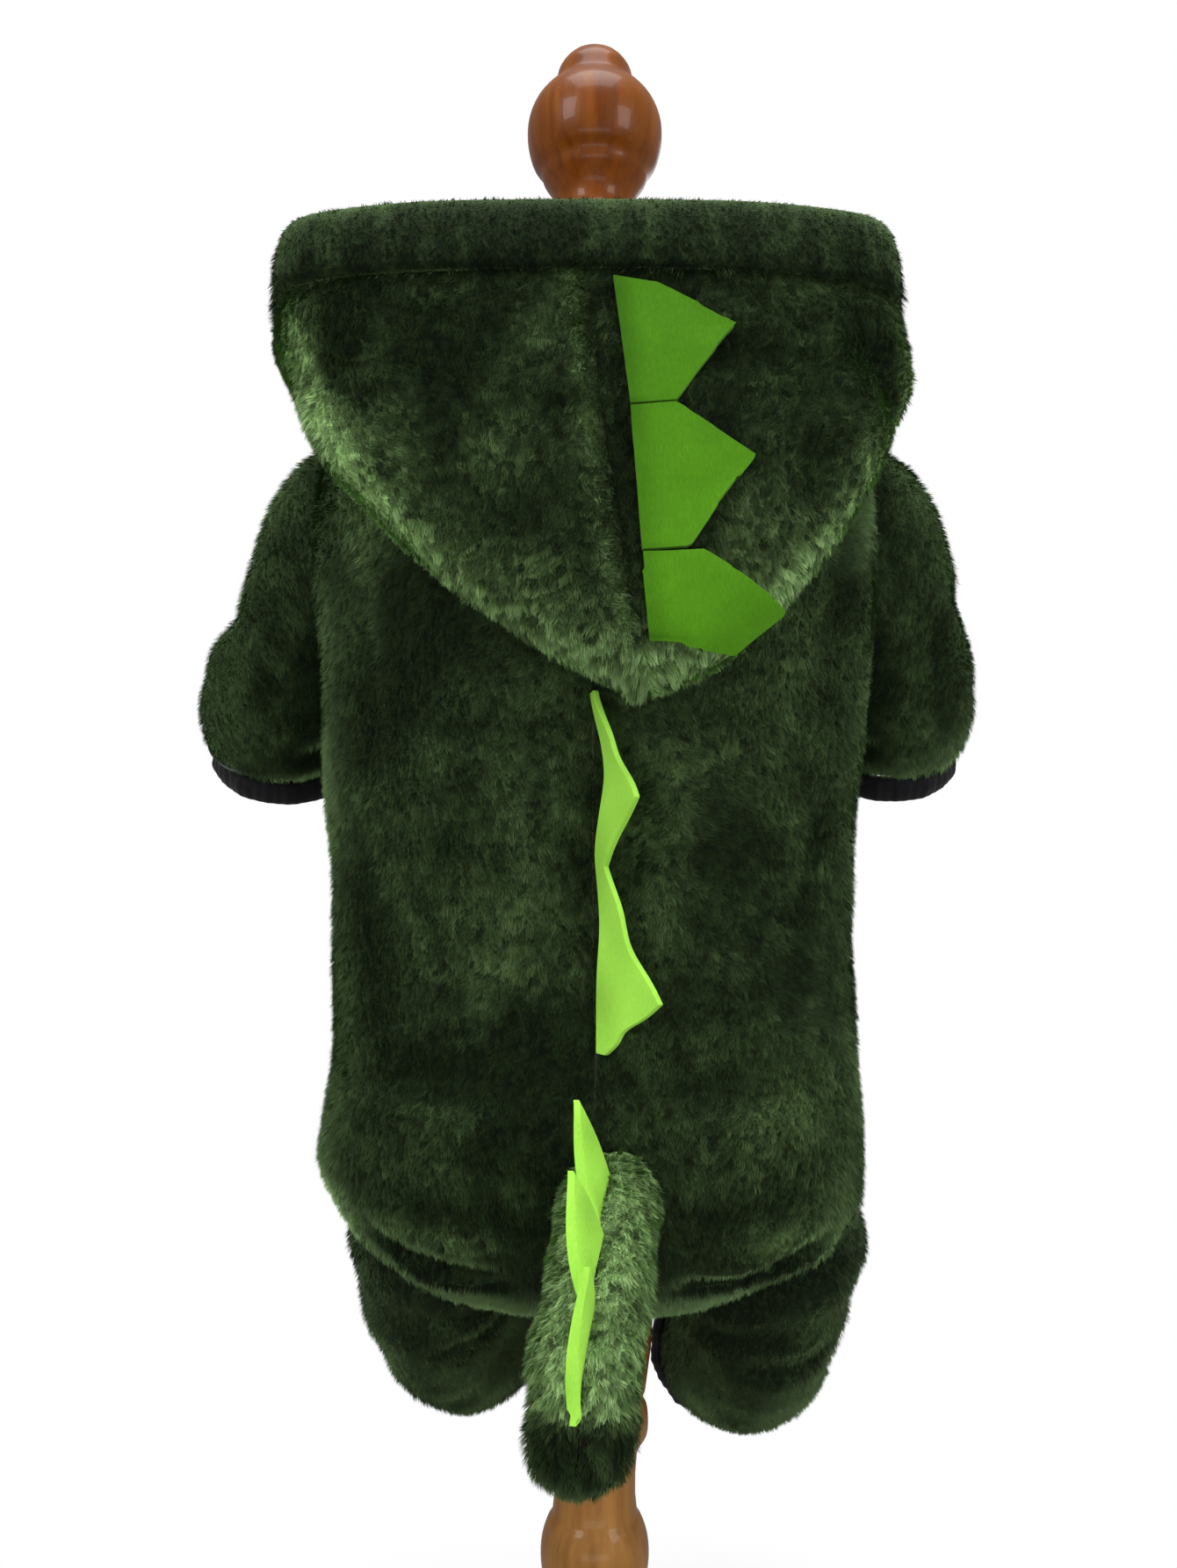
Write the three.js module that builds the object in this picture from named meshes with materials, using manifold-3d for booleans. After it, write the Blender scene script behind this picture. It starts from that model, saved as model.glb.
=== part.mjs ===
// Hooded plush pajamas for a small dog, with felt spikes and a stuffed tail,
// hanging on a limbless dress form with a turned wooden stand.
// Millimetres, +Z is up. The garment's back faces -Y and its belly faces +Y.
// The origin is the centre of the stand's underside.

import * as THREE from 'three';
import { mergeVertices } from 'three/addons/utils/BufferGeometryUtils.js';
import Module from 'manifold-3d';

const wasm = await Module();
wasm.setup();

// Driving dimensions
const SEAM_GAP = 0.3;
const PLUSH_WALL = 4.5;
const CUFF_WALL = 3;
const FELT_WALL = 2;
const FELT_LIFT = 0.8;
const FELT_TIP_LIFT = 1.6;
const CUFF_LENGTH = 11;
const FORM_CLEARANCE = 4;
const SHOULDER_CLEARANCE = 0.6;
const TRUNK_SQUARENESS = 2.2;
const SIDE_SEAM_TURN = THREE.MathUtils.degToRad(98);

// Trunk sections from the opening under the seat up to the neck edge.
// z is the height, x and y the middle, wide the half width, back and front the
// half depths to each side, tilt how much a section drops towards the belly.
const TRUNK_ROWS = [
  { z: 222, x: 0, y: 12, wide: 27, back: 39, front: 38, tilt: 0 },
  { z: 219, x: 0, y: 8, wide: 44, back: 46, front: 48, tilt: 0 },
  { z: 223, x: 0, y: 4, wide: 66, back: 58, front: 58, tilt: 0 },
  { z: 235, x: 1, y: 0, wide: 88, back: 72, front: 68, tilt: 0 },
  { z: 252, x: 2, y: 0, wide: 103, back: 81, front: 73, tilt: 0 },
  { z: 272, x: -1, y: 0, wide: 109, back: 85, front: 75, tilt: 0 },
  { z: 292, x: -1, y: 0, wide: 108.5, back: 84, front: 75, tilt: 0 },
  { z: 320, x: 0, y: 0, wide: 105, back: 80, front: 74, tilt: 0 },
  { z: 355, x: -1, y: 0, wide: 104.5, back: 78, front: 73, tilt: 0 },
  { z: 395, x: -1, y: 0, wide: 105.5, back: 78, front: 74, tilt: 0 },
  { z: 430, x: -1, y: 0, wide: 108, back: 78, front: 75, tilt: 0 },
  { z: 465, x: 0, y: 0, wide: 110, back: 78, front: 76, tilt: 0 },
  { z: 500, x: 0, y: 0, wide: 113, back: 77, front: 77, tilt: 0 },
  { z: 528, x: 0, y: 0, wide: 113, back: 75, front: 76, tilt: 0 },
  { z: 549, x: 0, y: 0, wide: 107, back: 71, front: 73, tilt: 0.03 },
  { z: 563, x: 0, y: 0, wide: 93, back: 64, front: 68, tilt: 0.08 },
  { z: 571, x: 0, y: 0, wide: 74, back: 57, front: 62, tilt: 0.14 },
  { z: 575, x: 0, y: 0, wide: 56, back: 51, front: 56, tilt: 0.2 },
];
const TRUNK_STEPS = 20;
const PANEL_COLUMNS = 8;
// Part of the trunk's table whose height only rises, from its widest rump to its neck
const UPRIGHT_PART = { from: 0.2, to: 0.95 };
// Half width of the trunk, for the angle that a seam gap takes up
const SEAM_RADIUS = 105;

// Sleeve sections from inside the armhole to the cuff.
// wide is the half width across, deep the half width from back to belly.
const RIGHT_SLEEVE_ROWS = [
  { x: 74, y: 12, z: 531, wide: 41, deep: 39 },
  { x: 97, y: 18, z: 522, wide: 42.5, deep: 41 },
  { x: 115, y: 29, z: 503, wide: 40, deep: 41 },
  { x: 124, y: 42, z: 483, wide: 38.5, deep: 41 },
  { x: 130, y: 53, z: 466, wide: 39, deep: 40 },
  { x: 132, y: 62, z: 453, wide: 37.5, deep: 37 },
  { x: 132, y: 68, z: 445, wide: 32, deep: 31 },
];
const LEFT_SLEEVE_ROWS = [
  { x: -74, y: 12, z: 532, wide: 41.5, deep: 39 },
  { x: -96, y: 18, z: 521, wide: 41, deep: 41 },
  { x: -114, y: 30, z: 501, wide: 36, deep: 41 },
  { x: -126, y: 42, z: 482, wide: 37.5, deep: 41 },
  { x: -135, y: 53, z: 465, wide: 39.5, deep: 40 },
  { x: -139, y: 62, z: 452, wide: 38, deep: 37 },
  { x: -140, y: 68, z: 444.5, wide: 32, deep: 31 },
];
const SLEEVE_STEPS = 9;
// Binding on a tube's end: how far out each section lies and how much it swells
const CUFF_SECTIONS = [
  { place: SEAM_GAP, grow: -0.5 },
  { place: CUFF_LENGTH / 2, grow: 0.4 },
  { place: CUFF_LENGTH, grow: -0.6 },
];

// Leg sections from inside the seat to the cuff, with the rolls under the rump.
const RIGHT_LEG_ROWS = [
  { x: 63, y: -6, z: 252, wide: 44, deep: 42 },
  { x: 64, y: -6, z: 236, wide: 45.5, deep: 44 },
  { x: 65, y: -3, z: 225, wide: 40, deep: 39.5 },
  { x: 65, y: 1, z: 214, wide: 38, deep: 39 },
  { x: 64, y: 7, z: 203, wide: 34.5, deep: 36.5 },
  { x: 64, y: 18, z: 191, wide: 35, deep: 36 },
  { x: 60, y: 35, z: 182, wide: 33.5, deep: 34 },
  { x: 55, y: 50, z: 179, wide: 29, deep: 29.5 },
];
const LEFT_LEG_ROWS = [
  { x: -61, y: -6, z: 258, wide: 38, deep: 42 },
  { x: -61, y: -6, z: 242, wide: 38.5, deep: 44 },
  { x: -62, y: -3, z: 231, wide: 34.5, deep: 39 },
  { x: -61, y: 1, z: 220, wide: 34.5, deep: 39 },
  { x: -59.5, y: 7, z: 209, wide: 31.5, deep: 35 },
  { x: -57, y: 18, z: 198, wide: 32.5, deep: 35 },
  { x: -52, y: 35, z: 189, wide: 32, deep: 33 },
  { x: -49, y: 50, z: 186, wide: 28.5, deep: 28.5 },
];
const LEG_STEPS = 11;
const TUBE_SIDES = 16;

// Hood sections for the right side, from the centre seam round to the throat.
// turn is the angle from the centre back, x, y and z the lowest point of the
// fold, roll the width of the fold, rise how steeply its inner side climbs,
// puff how far the outer layer swells, edgeX and edgeY the casing seam.
const HOOD_ROWS = [
  { turn: 0, x: 0, y: -99, z: 440, roll: 24, rise: 1, puff: 3, edgeX: 0, edgeY: -104 },
  { turn: 14, x: 25, y: -98, z: 451, roll: 24, rise: 1, puff: 3, edgeX: 27, edgeY: -103.5 },
  { turn: 27, x: 50, y: -95, z: 470, roll: 24, rise: 1, puff: 3, edgeX: 53.5, edgeY: -102 },
  { turn: 39, x: 75, y: -90, z: 496, roll: 24, rise: 1, puff: 3, edgeX: 79, edgeY: -98 },
  { turn: 50, x: 92, y: -82, z: 522, roll: 20, rise: 1, puff: 3, edgeX: 98, edgeY: -91 },
  { turn: 62, x: 102, y: -66, z: 549, roll: 18, rise: 0.9, puff: 2, edgeX: 107.5, edgeY: -77 },
  { turn: 76, x: 108, y: -40, z: 563, roll: 16, rise: 0.6, puff: 2, edgeX: 112.5, edgeY: -47 },
  { turn: 92, x: 110, y: 0, z: 565, roll: 15, rise: 0.4, puff: 1.5, edgeX: 115, edgeY: -5 },
  { turn: 112, x: 105, y: 36, z: 565, roll: 15, rise: 0.4, puff: 1, edgeX: 110, edgeY: 38 },
  { turn: 136, x: 86, y: 59, z: 561, roll: 14, rise: 0.4, puff: 1, edgeX: 88, edgeY: 63 },
  { turn: 158, x: 54, y: 71, z: 557, roll: 14, rise: 0.4, puff: 1, edgeX: 56, edgeY: 75 },
  { turn: 179, x: 5, y: 75, z: 555, roll: 14, rise: 0.4, puff: 1, edgeX: 6, edgeY: 79 },
];
const HOOD_COLUMNS = 16;
const HOOD_STEPS = 16;
const HOOD_LIFT = 3;
// Places on the trunk that the hood's inner layer starts from at the neck
const HOOD_RESTING_PLACES = [1, 0.96, 0.92];
const HOOD_HANGING_PARTS = [0.25, 0.5, 0.75];
// Turns between which the casing drops towards the throat
const CASING_DROP_TURNS = [108, 180];
const CASING_SEAM = { z: 584, drop: 12 };
// How far the centre seam and the tip hang to the right at each height
const HOOD_SKEW = [
  { z: 430, x: 19 },
  { z: 452, x: 16 },
  { z: 474, x: 11 },
  { z: 496, x: 7 },
  { z: 518, x: 4 },
  { z: 540, x: 1 },
  { z: 556, x: 0 },
  { z: 584, x: -3 },
];
const BAND_HEIGHT = 23;
// Section of the casing, out from the hood's surface and up from its seam
const BAND_SECTION = [
  { out: -0.3, up: 0.9 },
  { out: 2.2, up: 7 },
  { out: 1.8, up: 16 },
  { out: -1, up: 22 },
  { out: -4.5, up: BAND_HEIGHT },
  { out: -8, up: 21.5 },
  { out: -9.6, up: 12 },
  { out: -7, up: 2.2 },
];

// Tail path from inside the rump out and down to the blunt end
const TAIL_ROWS = [
  { x: 5, y: -62, z: 276, wide: 19, tall: 22 },
  { x: 4, y: -84, z: 270, wide: 19, tall: 21 },
  { x: 2, y: -104, z: 260, wide: 18.5, tall: 19.5 },
  { x: -1, y: -123, z: 246, wide: 18.5, tall: 18.5 },
  { x: -4, y: -138, z: 231, wide: 18.5, tall: 17.5 },
  { x: -5, y: -146, z: 219, wide: 18, tall: 16.5 },
  { x: -6, y: -149.5, z: 210, wide: 15.5, tall: 13.5 },
  { x: -6, y: -151, z: 204.5, wide: 8, tall: 7 },
];
const TAIL_STEPS = 14;
const TAIL_HALF_SIDES = 9;

// Felt spikes of the hood: upper and lower edges from the seam to the tip
const HOOD_SPIKES = [
  {
    upper: [[5.5, 576], [19.5, 574], [44.5, 561]],
    lower: [[11, 534.5], [25.5, 535.5], [44, 559.6]],
  },
  {
    upper: [[11, 533.4], [25.5, 534.2], [50, 517.6]],
    lower: [[14.5, 487], [29.5, 488], [49.5, 516.2]],
  },
  {
    upper: [[14.8, 485.7], [34, 486.3], [58, 472.2]],
    lower: [[17.2, 459.5], [42, 457.5], [57.5, 470.8]],
  },
];
const HOOD_SPIKE_STEPS = 6;

// Standing felt strip of the back: height over the seam and lean to the right
const BACK_SPIKE_ROWS = [
  { z: 447, height: 4, lean: 12 },
  { z: 436, height: 9, lean: 15 },
  { z: 409.5, height: 27, lean: 20 },
  { z: 397, height: 14, lean: 22 },
  { z: 387, height: 5.5, lean: 24 },
  { z: 368, height: 15, lean: 30 },
  { z: 342, height: 32, lean: 35 },
  { z: 330, height: 15, lean: 35 },
  { z: 323, height: 3, lean: 35 },
];
const BACK_SPIKE_STEPS = 16;
const BACK_SEAM_X = 2.5;

// Felt spikes of the tail: from and to are places along the tail, tip is a point
const TAIL_SPIKES = [
  { from: 0.17, to: 0.31, tip: [-6.5, -103, 311] },
  { from: 0.315, to: 0.465, tip: [-8, -127, 293] },
  { from: 0.47, to: 0.7, tip: [-3, -150, 270] },
];
const TAIL_SPIKE_STEPS = 5;
const TAIL_SPIKE_LIFT = 0.6;
// How far along the way to the point each spike's cut edge lies
const TAIL_SPIKE_REACH = 0.97;

// Dress form: inside the trunk below the shoulders, then a plain neck
const FORM_NECK_ROWS = [
  { z: 571, radius: 46, tilt: 0.2 },
  { z: 584, radius: 42, tilt: 0.15 },
  { z: 602, radius: 40, tilt: 0.05 },
  { z: 620, radius: 39, tilt: 0 },
  { z: 627.7, radius: 37, tilt: 0 },
];
const FORM_SIDES = 24;
const FORM_FOOT = { z: 239, radius: 30, tilt: 0 };
// Places of the trunk that the form fills, and where its shoulders begin
const FORM_PLACES = { from: 0.16, to: 0.93, steps: 14 };
const SHOULDER_PLACES = [0.86, 0.92];

// Turned profiles as radius and height pairs
const FINIAL_PROFILE = [
  [0, 628], [37, 628], [38, 632], [34, 637], [21, 640], [20, 645], [15.5, 649],
  [15, 655], [17.5, 660], [20.5, 664.5], [21.6, 667.5], [24.6, 671.5], [26.4, 677], [27, 683],
  [26.4, 688.4], [24, 694.2], [20, 699.2], [16.4, 702.3], [15.4, 705], [14.2, 709], [10.5, 713.6],
  [5.5, 716], [0, 716.7],
];
const POST_PROFILE = [
  [0, 22.3], [30, 22.3], [30, 27], [24, 31], [18.5, 40], [17, 52], [17, 94],
  [18.5, 97], [20.6, 103], [21.8, 112], [21.2, 120], [18.8, 127], [17, 130],
  [17, 153], [18.5, 157], [21, 161], [21.5, 167], [20.8, 172.5], [19, 175.5],
  [20.4, 179], [20.5, 238.7], [0, 238.7],
];
const BASE_PROFILE = [
  [0, 0], [102, 0], [105, 3], [105, 11], [102, 15], [96, 17], [92, 21], [88, 22], [0, 22],
];
const TURNED_SIDES = 20;
const BASE_SIDES = 32;

// Blends every named column of a table at a place from 0 to 1
function rowAt(table, place) {
  const last = table.length - 1;
  const scaled = THREE.MathUtils.clamp(place, 0, 1) * last;
  const index = Math.min(Math.floor(scaled), last - 1);
  const part = scaled - index;
  const row = {};
  for (const name of Object.keys(table[0])) {
    const before = table[Math.max(index - 1, 0)][name];
    const start = table[index][name];
    const end = table[index + 1][name];
    const after = table[Math.min(index + 2, last)][name];
    const linear = end - before;
    const square = 2 * before - 5 * start + 4 * end - after;
    const cube = 3 * start - before - 3 * end + after;
    row[name] = start + 0.5 * part * (linear + part * (square + part * cube));
  }
  return row;
}

// Straight blend of a table's x at a height
function valueAtHeight(table, z) {
  const last = table.length - 1;
  if (z <= table[0].z) return table[0].x;
  if (z >= table[last].z) return table[last].x;
  const index = table.findIndex((row) => row.z > z) - 1;
  const low = table[index];
  const high = table[index + 1];
  return THREE.MathUtils.mapLinear(z, low.z, high.z, low.x, high.x);
}

function evenSteps(from, to, count) {
  return Array.from({ length: count + 1 }, (_, i) => from + ((to - from) * i) / count);
}

// Point list and triangle list to a geometry whose faces point out
function closedGeometry(points, faces) {
  let volume = 0;
  for (let i = 0; i < faces.length; i += 3) {
    const [a, b, c] = [points[faces[i]], points[faces[i + 1]], points[faces[i + 2]]];
    volume += a.dot(new THREE.Vector3().crossVectors(b, c));
  }
  const index = volume < 0 ? faces.slice().reverse() : faces;
  const geometry = new THREE.BufferGeometry().setFromPoints(points);
  geometry.setIndex(index);
  return geometry;
}

// Wall between two grids of points, each a list of rows
function wallGeometry(outer, inner, round) {
  const rows = outer.length - 1;
  const columns = outer[0].length;
  const spans = round ? columns : columns - 1;
  const points = [...outer.flat(), ...inner.flat()];
  const shift = outer.flat().length;
  const faces = [];
  const quad = (a, b, c, d) => faces.push(a, b, c, a, c, d);
  const at = (row, column) => row * columns + (column % columns);
  for (let row = 0; row < rows; row += 1) {
    for (let column = 0; column < spans; column += 1) {
      const corners = [
        at(row, column), at(row, column + 1), at(row + 1, column + 1), at(row + 1, column),
      ];
      quad(...corners);
      quad(...corners.map((corner) => corner + shift).reverse());
    }
  }
  for (let column = 0; column < spans; column += 1) {
    const [start, startNext] = [at(0, column), at(0, column + 1)];
    const [end, endNext] = [at(rows, column), at(rows, column + 1)];
    quad(start, shift + start, shift + startNext, startNext);
    quad(end, endNext, shift + endNext, shift + end);
  }
  for (let row = 0; row < rows && !round; row += 1) {
    const [near, nearNext] = [at(row, 0), at(row + 1, 0)];
    const [far, farNext] = [at(row, spans), at(row + 1, spans)];
    quad(near, nearNext, shift + nearNext, shift + near);
    quad(far, shift + far, shift + farNext, farNext);
  }
  return closedGeometry(points, faces);
}

// Solid through closed rings of points, with flat ends
function loftGeometry(rings) {
  const columns = rings[0].length;
  const points = rings.flat();
  const faces = [];
  for (let row = 0; row < rings.length - 1; row += 1) {
    for (let column = 0; column < columns; column += 1) {
      const next = (column + 1) % columns;
      const [a, b] = [row * columns + column, row * columns + next];
      const [c, d] = [b + columns, a + columns];
      faces.push(a, b, c, a, c, d);
    }
  }
  for (const [ring, start, turned] of [[rings[0], 0, true],
    [rings[rings.length - 1], (rings.length - 1) * columns, false]]) {
    const middle = points.length;
    const centre = new THREE.Vector3();
    ring.forEach((point) => centre.addScaledVector(point, 1 / columns));
    points.push(centre);
    for (let column = 0; column < columns; column += 1) {
      const a = start + column;
      const b = start + ((column + 1) % columns);
      if (turned) faces.push(b, a, middle);
      else faces.push(a, b, middle);
    }
  }
  return closedGeometry(points, faces);
}

// Grid of a surface's points, moved out along its normal
function surfaceGrid(surface, us, vs, out, side = 1) {
  const step = 1e-3;
  return vs.map((v) => us.map((u) => {
    const point = surface(u, v);
    if (out === 0) return point;
    const along = surface(u + step, v).sub(surface(u - step, v));
    const up = surface(u, v + step).sub(surface(u, v - step));
    const normal = along.cross(up).normalize();
    return point.addScaledVector(normal, out * side);
  }));
}

function toSolid(geometry) {
  const bare = geometry.clone();
  bare.deleteAttribute('normal');
  bare.deleteAttribute('uv');
  const merged = mergeVertices(bare, 1e-4);
  return new wasm.Manifold(new wasm.Mesh({
    numProp: 3,
    vertProperties: Float32Array.from(merged.attributes.position.array),
    triVerts: Uint32Array.from(merged.index.array),
  }));
}

function fromSolid(solid) {
  const mesh = solid.getMesh();
  const geometry = new THREE.BufferGeometry();
  geometry.setAttribute('position', new THREE.BufferAttribute(mesh.vertProperties, 3));
  geometry.setIndex(new THREE.BufferAttribute(mesh.triVerts, 1));
  return geometry;
}

function cutAway(geometry, cutters) {
  let solid = toSolid(geometry);
  for (const cutter of cutters) solid = solid.subtract(toSolid(cutter));
  return fromSolid(solid);
}

// Materials, one for each kind of surface
const plush = new THREE.MeshStandardMaterial({ color: 0x33522e, roughness: 1, metalness: 0 });
const felt = new THREE.MeshStandardMaterial({ color: 0x7bd134, roughness: 0.95, metalness: 0 });
const binding = new THREE.MeshStandardMaterial({ color: 0x0c0c0e, roughness: 0.9, metalness: 0 });
const cover = new THREE.MeshStandardMaterial({ color: 0xd9cfbb, roughness: 0.9, metalness: 0 });
const varnish = new THREE.MeshStandardMaterial({ color: 0xa05c22, roughness: 0.3, metalness: 0 });

const pajamas = new THREE.Group();

function addPiece(name, geometry, material) {
  const mesh = new THREE.Mesh(geometry, material);
  mesh.name = name;
  pajamas.add(mesh);
  return mesh;
}

// Trunk surface: turn is the angle from the centre back towards +X
function trunkPoint(turn, place) {
  const row = rowAt(TRUNK_ROWS, place);
  const power = 2 / TRUNK_SQUARENESS;
  const across = Math.sign(Math.sin(turn)) * Math.abs(Math.sin(turn)) ** power;
  const behind = Math.sign(Math.cos(turn)) * Math.abs(Math.cos(turn)) ** power;
  const y = row.y - behind * (behind > 0 ? row.back : row.front);
  return new THREE.Vector3(row.x + row.wide * across, y, row.z - row.tilt * y);
}

// The trunk as one solid body, its surface moved out by a distance
function trunkSolid(out) {
  const half = [
    ...evenSteps(0, SIDE_SEAM_TURN, PANEL_COLUMNS),
    ...evenSteps(SIDE_SEAM_TURN, Math.PI, PANEL_COLUMNS).slice(1),
  ];
  const turns = [...half, ...half.slice(1, -1).reverse().map((turn) => -turn)];
  return loftGeometry(surfaceGrid(trunkPoint, turns, evenSteps(0, 1, TRUNK_STEPS), out));
}

// Angle that a seam gap takes up at the trunk's back or belly
const SEAM_TURN = SEAM_GAP / 2 / SEAM_RADIUS;

function trunkPanel(side, from, to) {
  const turns = evenSteps(side * (from + SEAM_TURN), side * (to - SEAM_TURN), PANEL_COLUMNS);
  const places = evenSteps(0, 1, TRUNK_STEPS);
  const outer = surfaceGrid(trunkPoint, turns, places, 0);
  const inner = surfaceGrid(trunkPoint, turns, places, -PLUSH_WALL);
  return wallGeometry(outer, inner, false);
}

// Tube through the sections of a table
function tubeRings(rows, steps, shrink) {
  const path = new THREE.CatmullRomCurve3(rows.map((row) => new THREE.Vector3(row.x, row.y, row.z)));
  return evenSteps(0, 1, steps).map((place) => {
    const row = rowAt(rows, place);
    const along = path.getTangent(place);
    const across = new THREE.Vector3(1, 0, 0).addScaledVector(along, -along.x).normalize();
    const over = new THREE.Vector3().crossVectors(along, across);
    const middle = new THREE.Vector3(row.x, row.y, row.z);
    return evenSteps(0, 2 * Math.PI, TUBE_SIDES).slice(0, -1).map((turn) => middle.clone()
      .addScaledVector(across, (row.wide - shrink) * Math.cos(turn))
      .addScaledVector(over, (row.deep - shrink) * Math.sin(turn)));
  });
}

// Elastic binding on the end of a tube
function cuffRings(rows, shrink) {
  const last = rows[rows.length - 1];
  const before = rows[rows.length - 2];
  const end = new THREE.Vector3(last.x, last.y, last.z);
  const along = end.clone().sub(new THREE.Vector3(before.x, before.y, before.z)).normalize();
  const steps = CUFF_SECTIONS.map(({ place, grow }) => ({
    x: end.x + along.x * place,
    y: end.y + along.y * place,
    z: end.z + along.z * place,
    wide: last.wide + grow,
    deep: last.deep + grow,
  }));
  return tubeRings(steps, 2, shrink);
}

// Hood surface: column runs from the centre seam to the throat,
// place from the neck seam down round the fold and up to the casing
const HOOD_COLUMNS_LIST = evenSteps(0, 1, HOOD_COLUMNS);

// Place of a height along the trunk's upright part
function trunkPlaceAt(z) {
  let { from: low, to: high } = UPRIGHT_PART;
  while (high - low > 1e-4) {
    const middle = (low + high) / 2;
    if (rowAt(TRUNK_ROWS, middle).z < z) low = middle;
    else high = middle;
  }
  return low;
}

// The hood's inner layer lies on the trunk's shoulders
function restingPoint(turn, place) {
  return surfaceGrid(trunkPoint, [turn], [place], HOOD_LIFT)[0][0];
}

function hoodMeridian(column) {
  const row = rowAt(HOOD_ROWS, column);
  const turn = THREE.MathUtils.degToRad(row.turn);
  const resting = HOOD_RESTING_PLACES.map((place) => restingPoint(turn, place));
  const drop = CASING_SEAM.drop * THREE.MathUtils.smoothstep(row.turn, ...CASING_DROP_TURNS);
  const seam = new THREE.Vector3(row.edgeX, row.edgeY, CASING_SEAM.z - drop);
  const fold = new THREE.Vector3(row.x, row.y, row.z);
  const away = new THREE.Vector3(seam.x, seam.y, 0).normalize();
  const half = row.roll / 2;
  const up = new THREE.Vector3(0, 0, 1);
  const bodySide = fold.clone().addScaledVector(away, -half).addScaledVector(up, half * row.rise);
  const farSide = fold.clone().addScaledVector(away, half).addScaledVector(up, half);
  const hanging = HOOD_HANGING_PARTS.map((part) => {
    const point = resting[2].clone().lerp(bodySide, part);
    const onTrunk = restingPoint(turn, trunkPlaceAt(point.z)).setZ(point.z);
    return onTrunk.dot(away) > point.dot(away) ? onTrunk : point;
  });
  const outerMid = farSide.clone().lerp(seam, 0.5).addScaledVector(away, row.puff);
  return new THREE.CatmullRomCurve3(
    [...resting, ...hanging, bodySide, fold, farSide, outerMid, seam],
  );
}

function hoodSurface(column, place) {
  return hoodMeridian(column).getPoint(THREE.MathUtils.clamp(place, 0, 1));
}

// One side of the hood, hanging over to the right towards its tip
function hang(side, point) {
  const skew = valueAtHeight(HOOD_SKEW, point.z);
  const across = Math.max(point.x, 0) + SEAM_GAP / 2;
  return new THREE.Vector3(side * across + skew, point.y, point.z);
}

function hoodPanel(side) {
  const places = evenSteps(0, 1, HOOD_STEPS);
  const [outer, inner] = [0, -PLUSH_WALL].map((out) => {
    const grid = surfaceGrid(hoodSurface, HOOD_COLUMNS_LIST, places, out);
    grid.forEach((row) => row[0].setX(0));
    return grid.map((row) => row.map((point) => hang(side, point)));
  });
  return wallGeometry(outer, inner, false);
}

// The casing carries on from the hood's upper edge
function hoodBand(side) {
  const rings = HOOD_COLUMNS_LIST.map((column) => {
    const base = hoodSurface(column, 1);
    const out = surfaceGrid(hoodSurface, [column], [1], 1)[0][0].sub(base);
    if (column === 0) out.setX(0);
    const along = hoodSurface(column + 1e-3, 1).sub(hoodSurface(column - 1e-3, 1));
    const up = out.clone().cross(along).normalize();
    return BAND_SECTION.map((corner) => hang(side, base.clone()
      .addScaledVector(out, corner.out)
      .addScaledVector(up, corner.up)));
  });
  return loftGeometry(rings);
}

const trunkBody = trunkSolid(SEAM_GAP);
const sides = [{ name: 'left', sign: -1 }, { name: 'right', sign: 1 }];

for (const { name, sign } of sides) {
  const sleeveRows = sign < 0 ? LEFT_SLEEVE_ROWS : RIGHT_SLEEVE_ROWS;
  const legRows = sign < 0 ? LEFT_LEG_ROWS : RIGHT_LEG_ROWS;
  const holes = [
    loftGeometry(tubeRings(sleeveRows, SLEEVE_STEPS, PLUSH_WALL)),
    loftGeometry(tubeRings(legRows, LEG_STEPS, PLUSH_WALL)),
  ];
  addPiece(`back_${name}`, cutAway(trunkPanel(sign, 0, SIDE_SEAM_TURN), holes), plush);
  addPiece(`belly_${name}`, cutAway(trunkPanel(sign, SIDE_SEAM_TURN, Math.PI), holes), plush);

  const sleeve = wallGeometry(
    tubeRings(sleeveRows, SLEEVE_STEPS, 0),
    tubeRings(sleeveRows, SLEEVE_STEPS, PLUSH_WALL),
    true,
  );
  addPiece(`sleeve_${name}`, cutAway(sleeve, [trunkBody]), plush);
  const sleeveCuff = wallGeometry(cuffRings(sleeveRows, 0), cuffRings(sleeveRows, CUFF_WALL), true);
  addPiece(`sleeve_cuff_${name}`, sleeveCuff, binding);

  const leg = wallGeometry(
    tubeRings(legRows, LEG_STEPS, 0),
    tubeRings(legRows, LEG_STEPS, PLUSH_WALL),
    true,
  );
  addPiece(`leg_${name}`, cutAway(leg, [trunkBody]), plush);
  const legCuff = wallGeometry(cuffRings(legRows, 0), cuffRings(legRows, CUFF_WALL), true);
  addPiece(`leg_cuff_${name}`, legCuff, binding);

  addPiece(`hood_${name}`, hoodPanel(sign), plush);
  addPiece(`hood_band_${name}`, hoodBand(sign), plush);
}

// Stuffed tail: each half has a round side and a flat side at the seam
function tailFrame(place) {
  const path = new THREE.CatmullRomCurve3(TAIL_ROWS.map((row) => new THREE.Vector3(row.x, row.y, row.z)));
  const row = rowAt(TAIL_ROWS, place);
  const along = path.getTangent(place);
  const across = new THREE.Vector3(1, 0, 0).addScaledVector(along, -along.x).normalize();
  const ridge = new THREE.Vector3().crossVectors(across, along).normalize();
  if (ridge.z < 0) ridge.negate();
  return { row, along, across, ridge, middle: new THREE.Vector3(row.x, row.y, row.z) };
}

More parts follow.
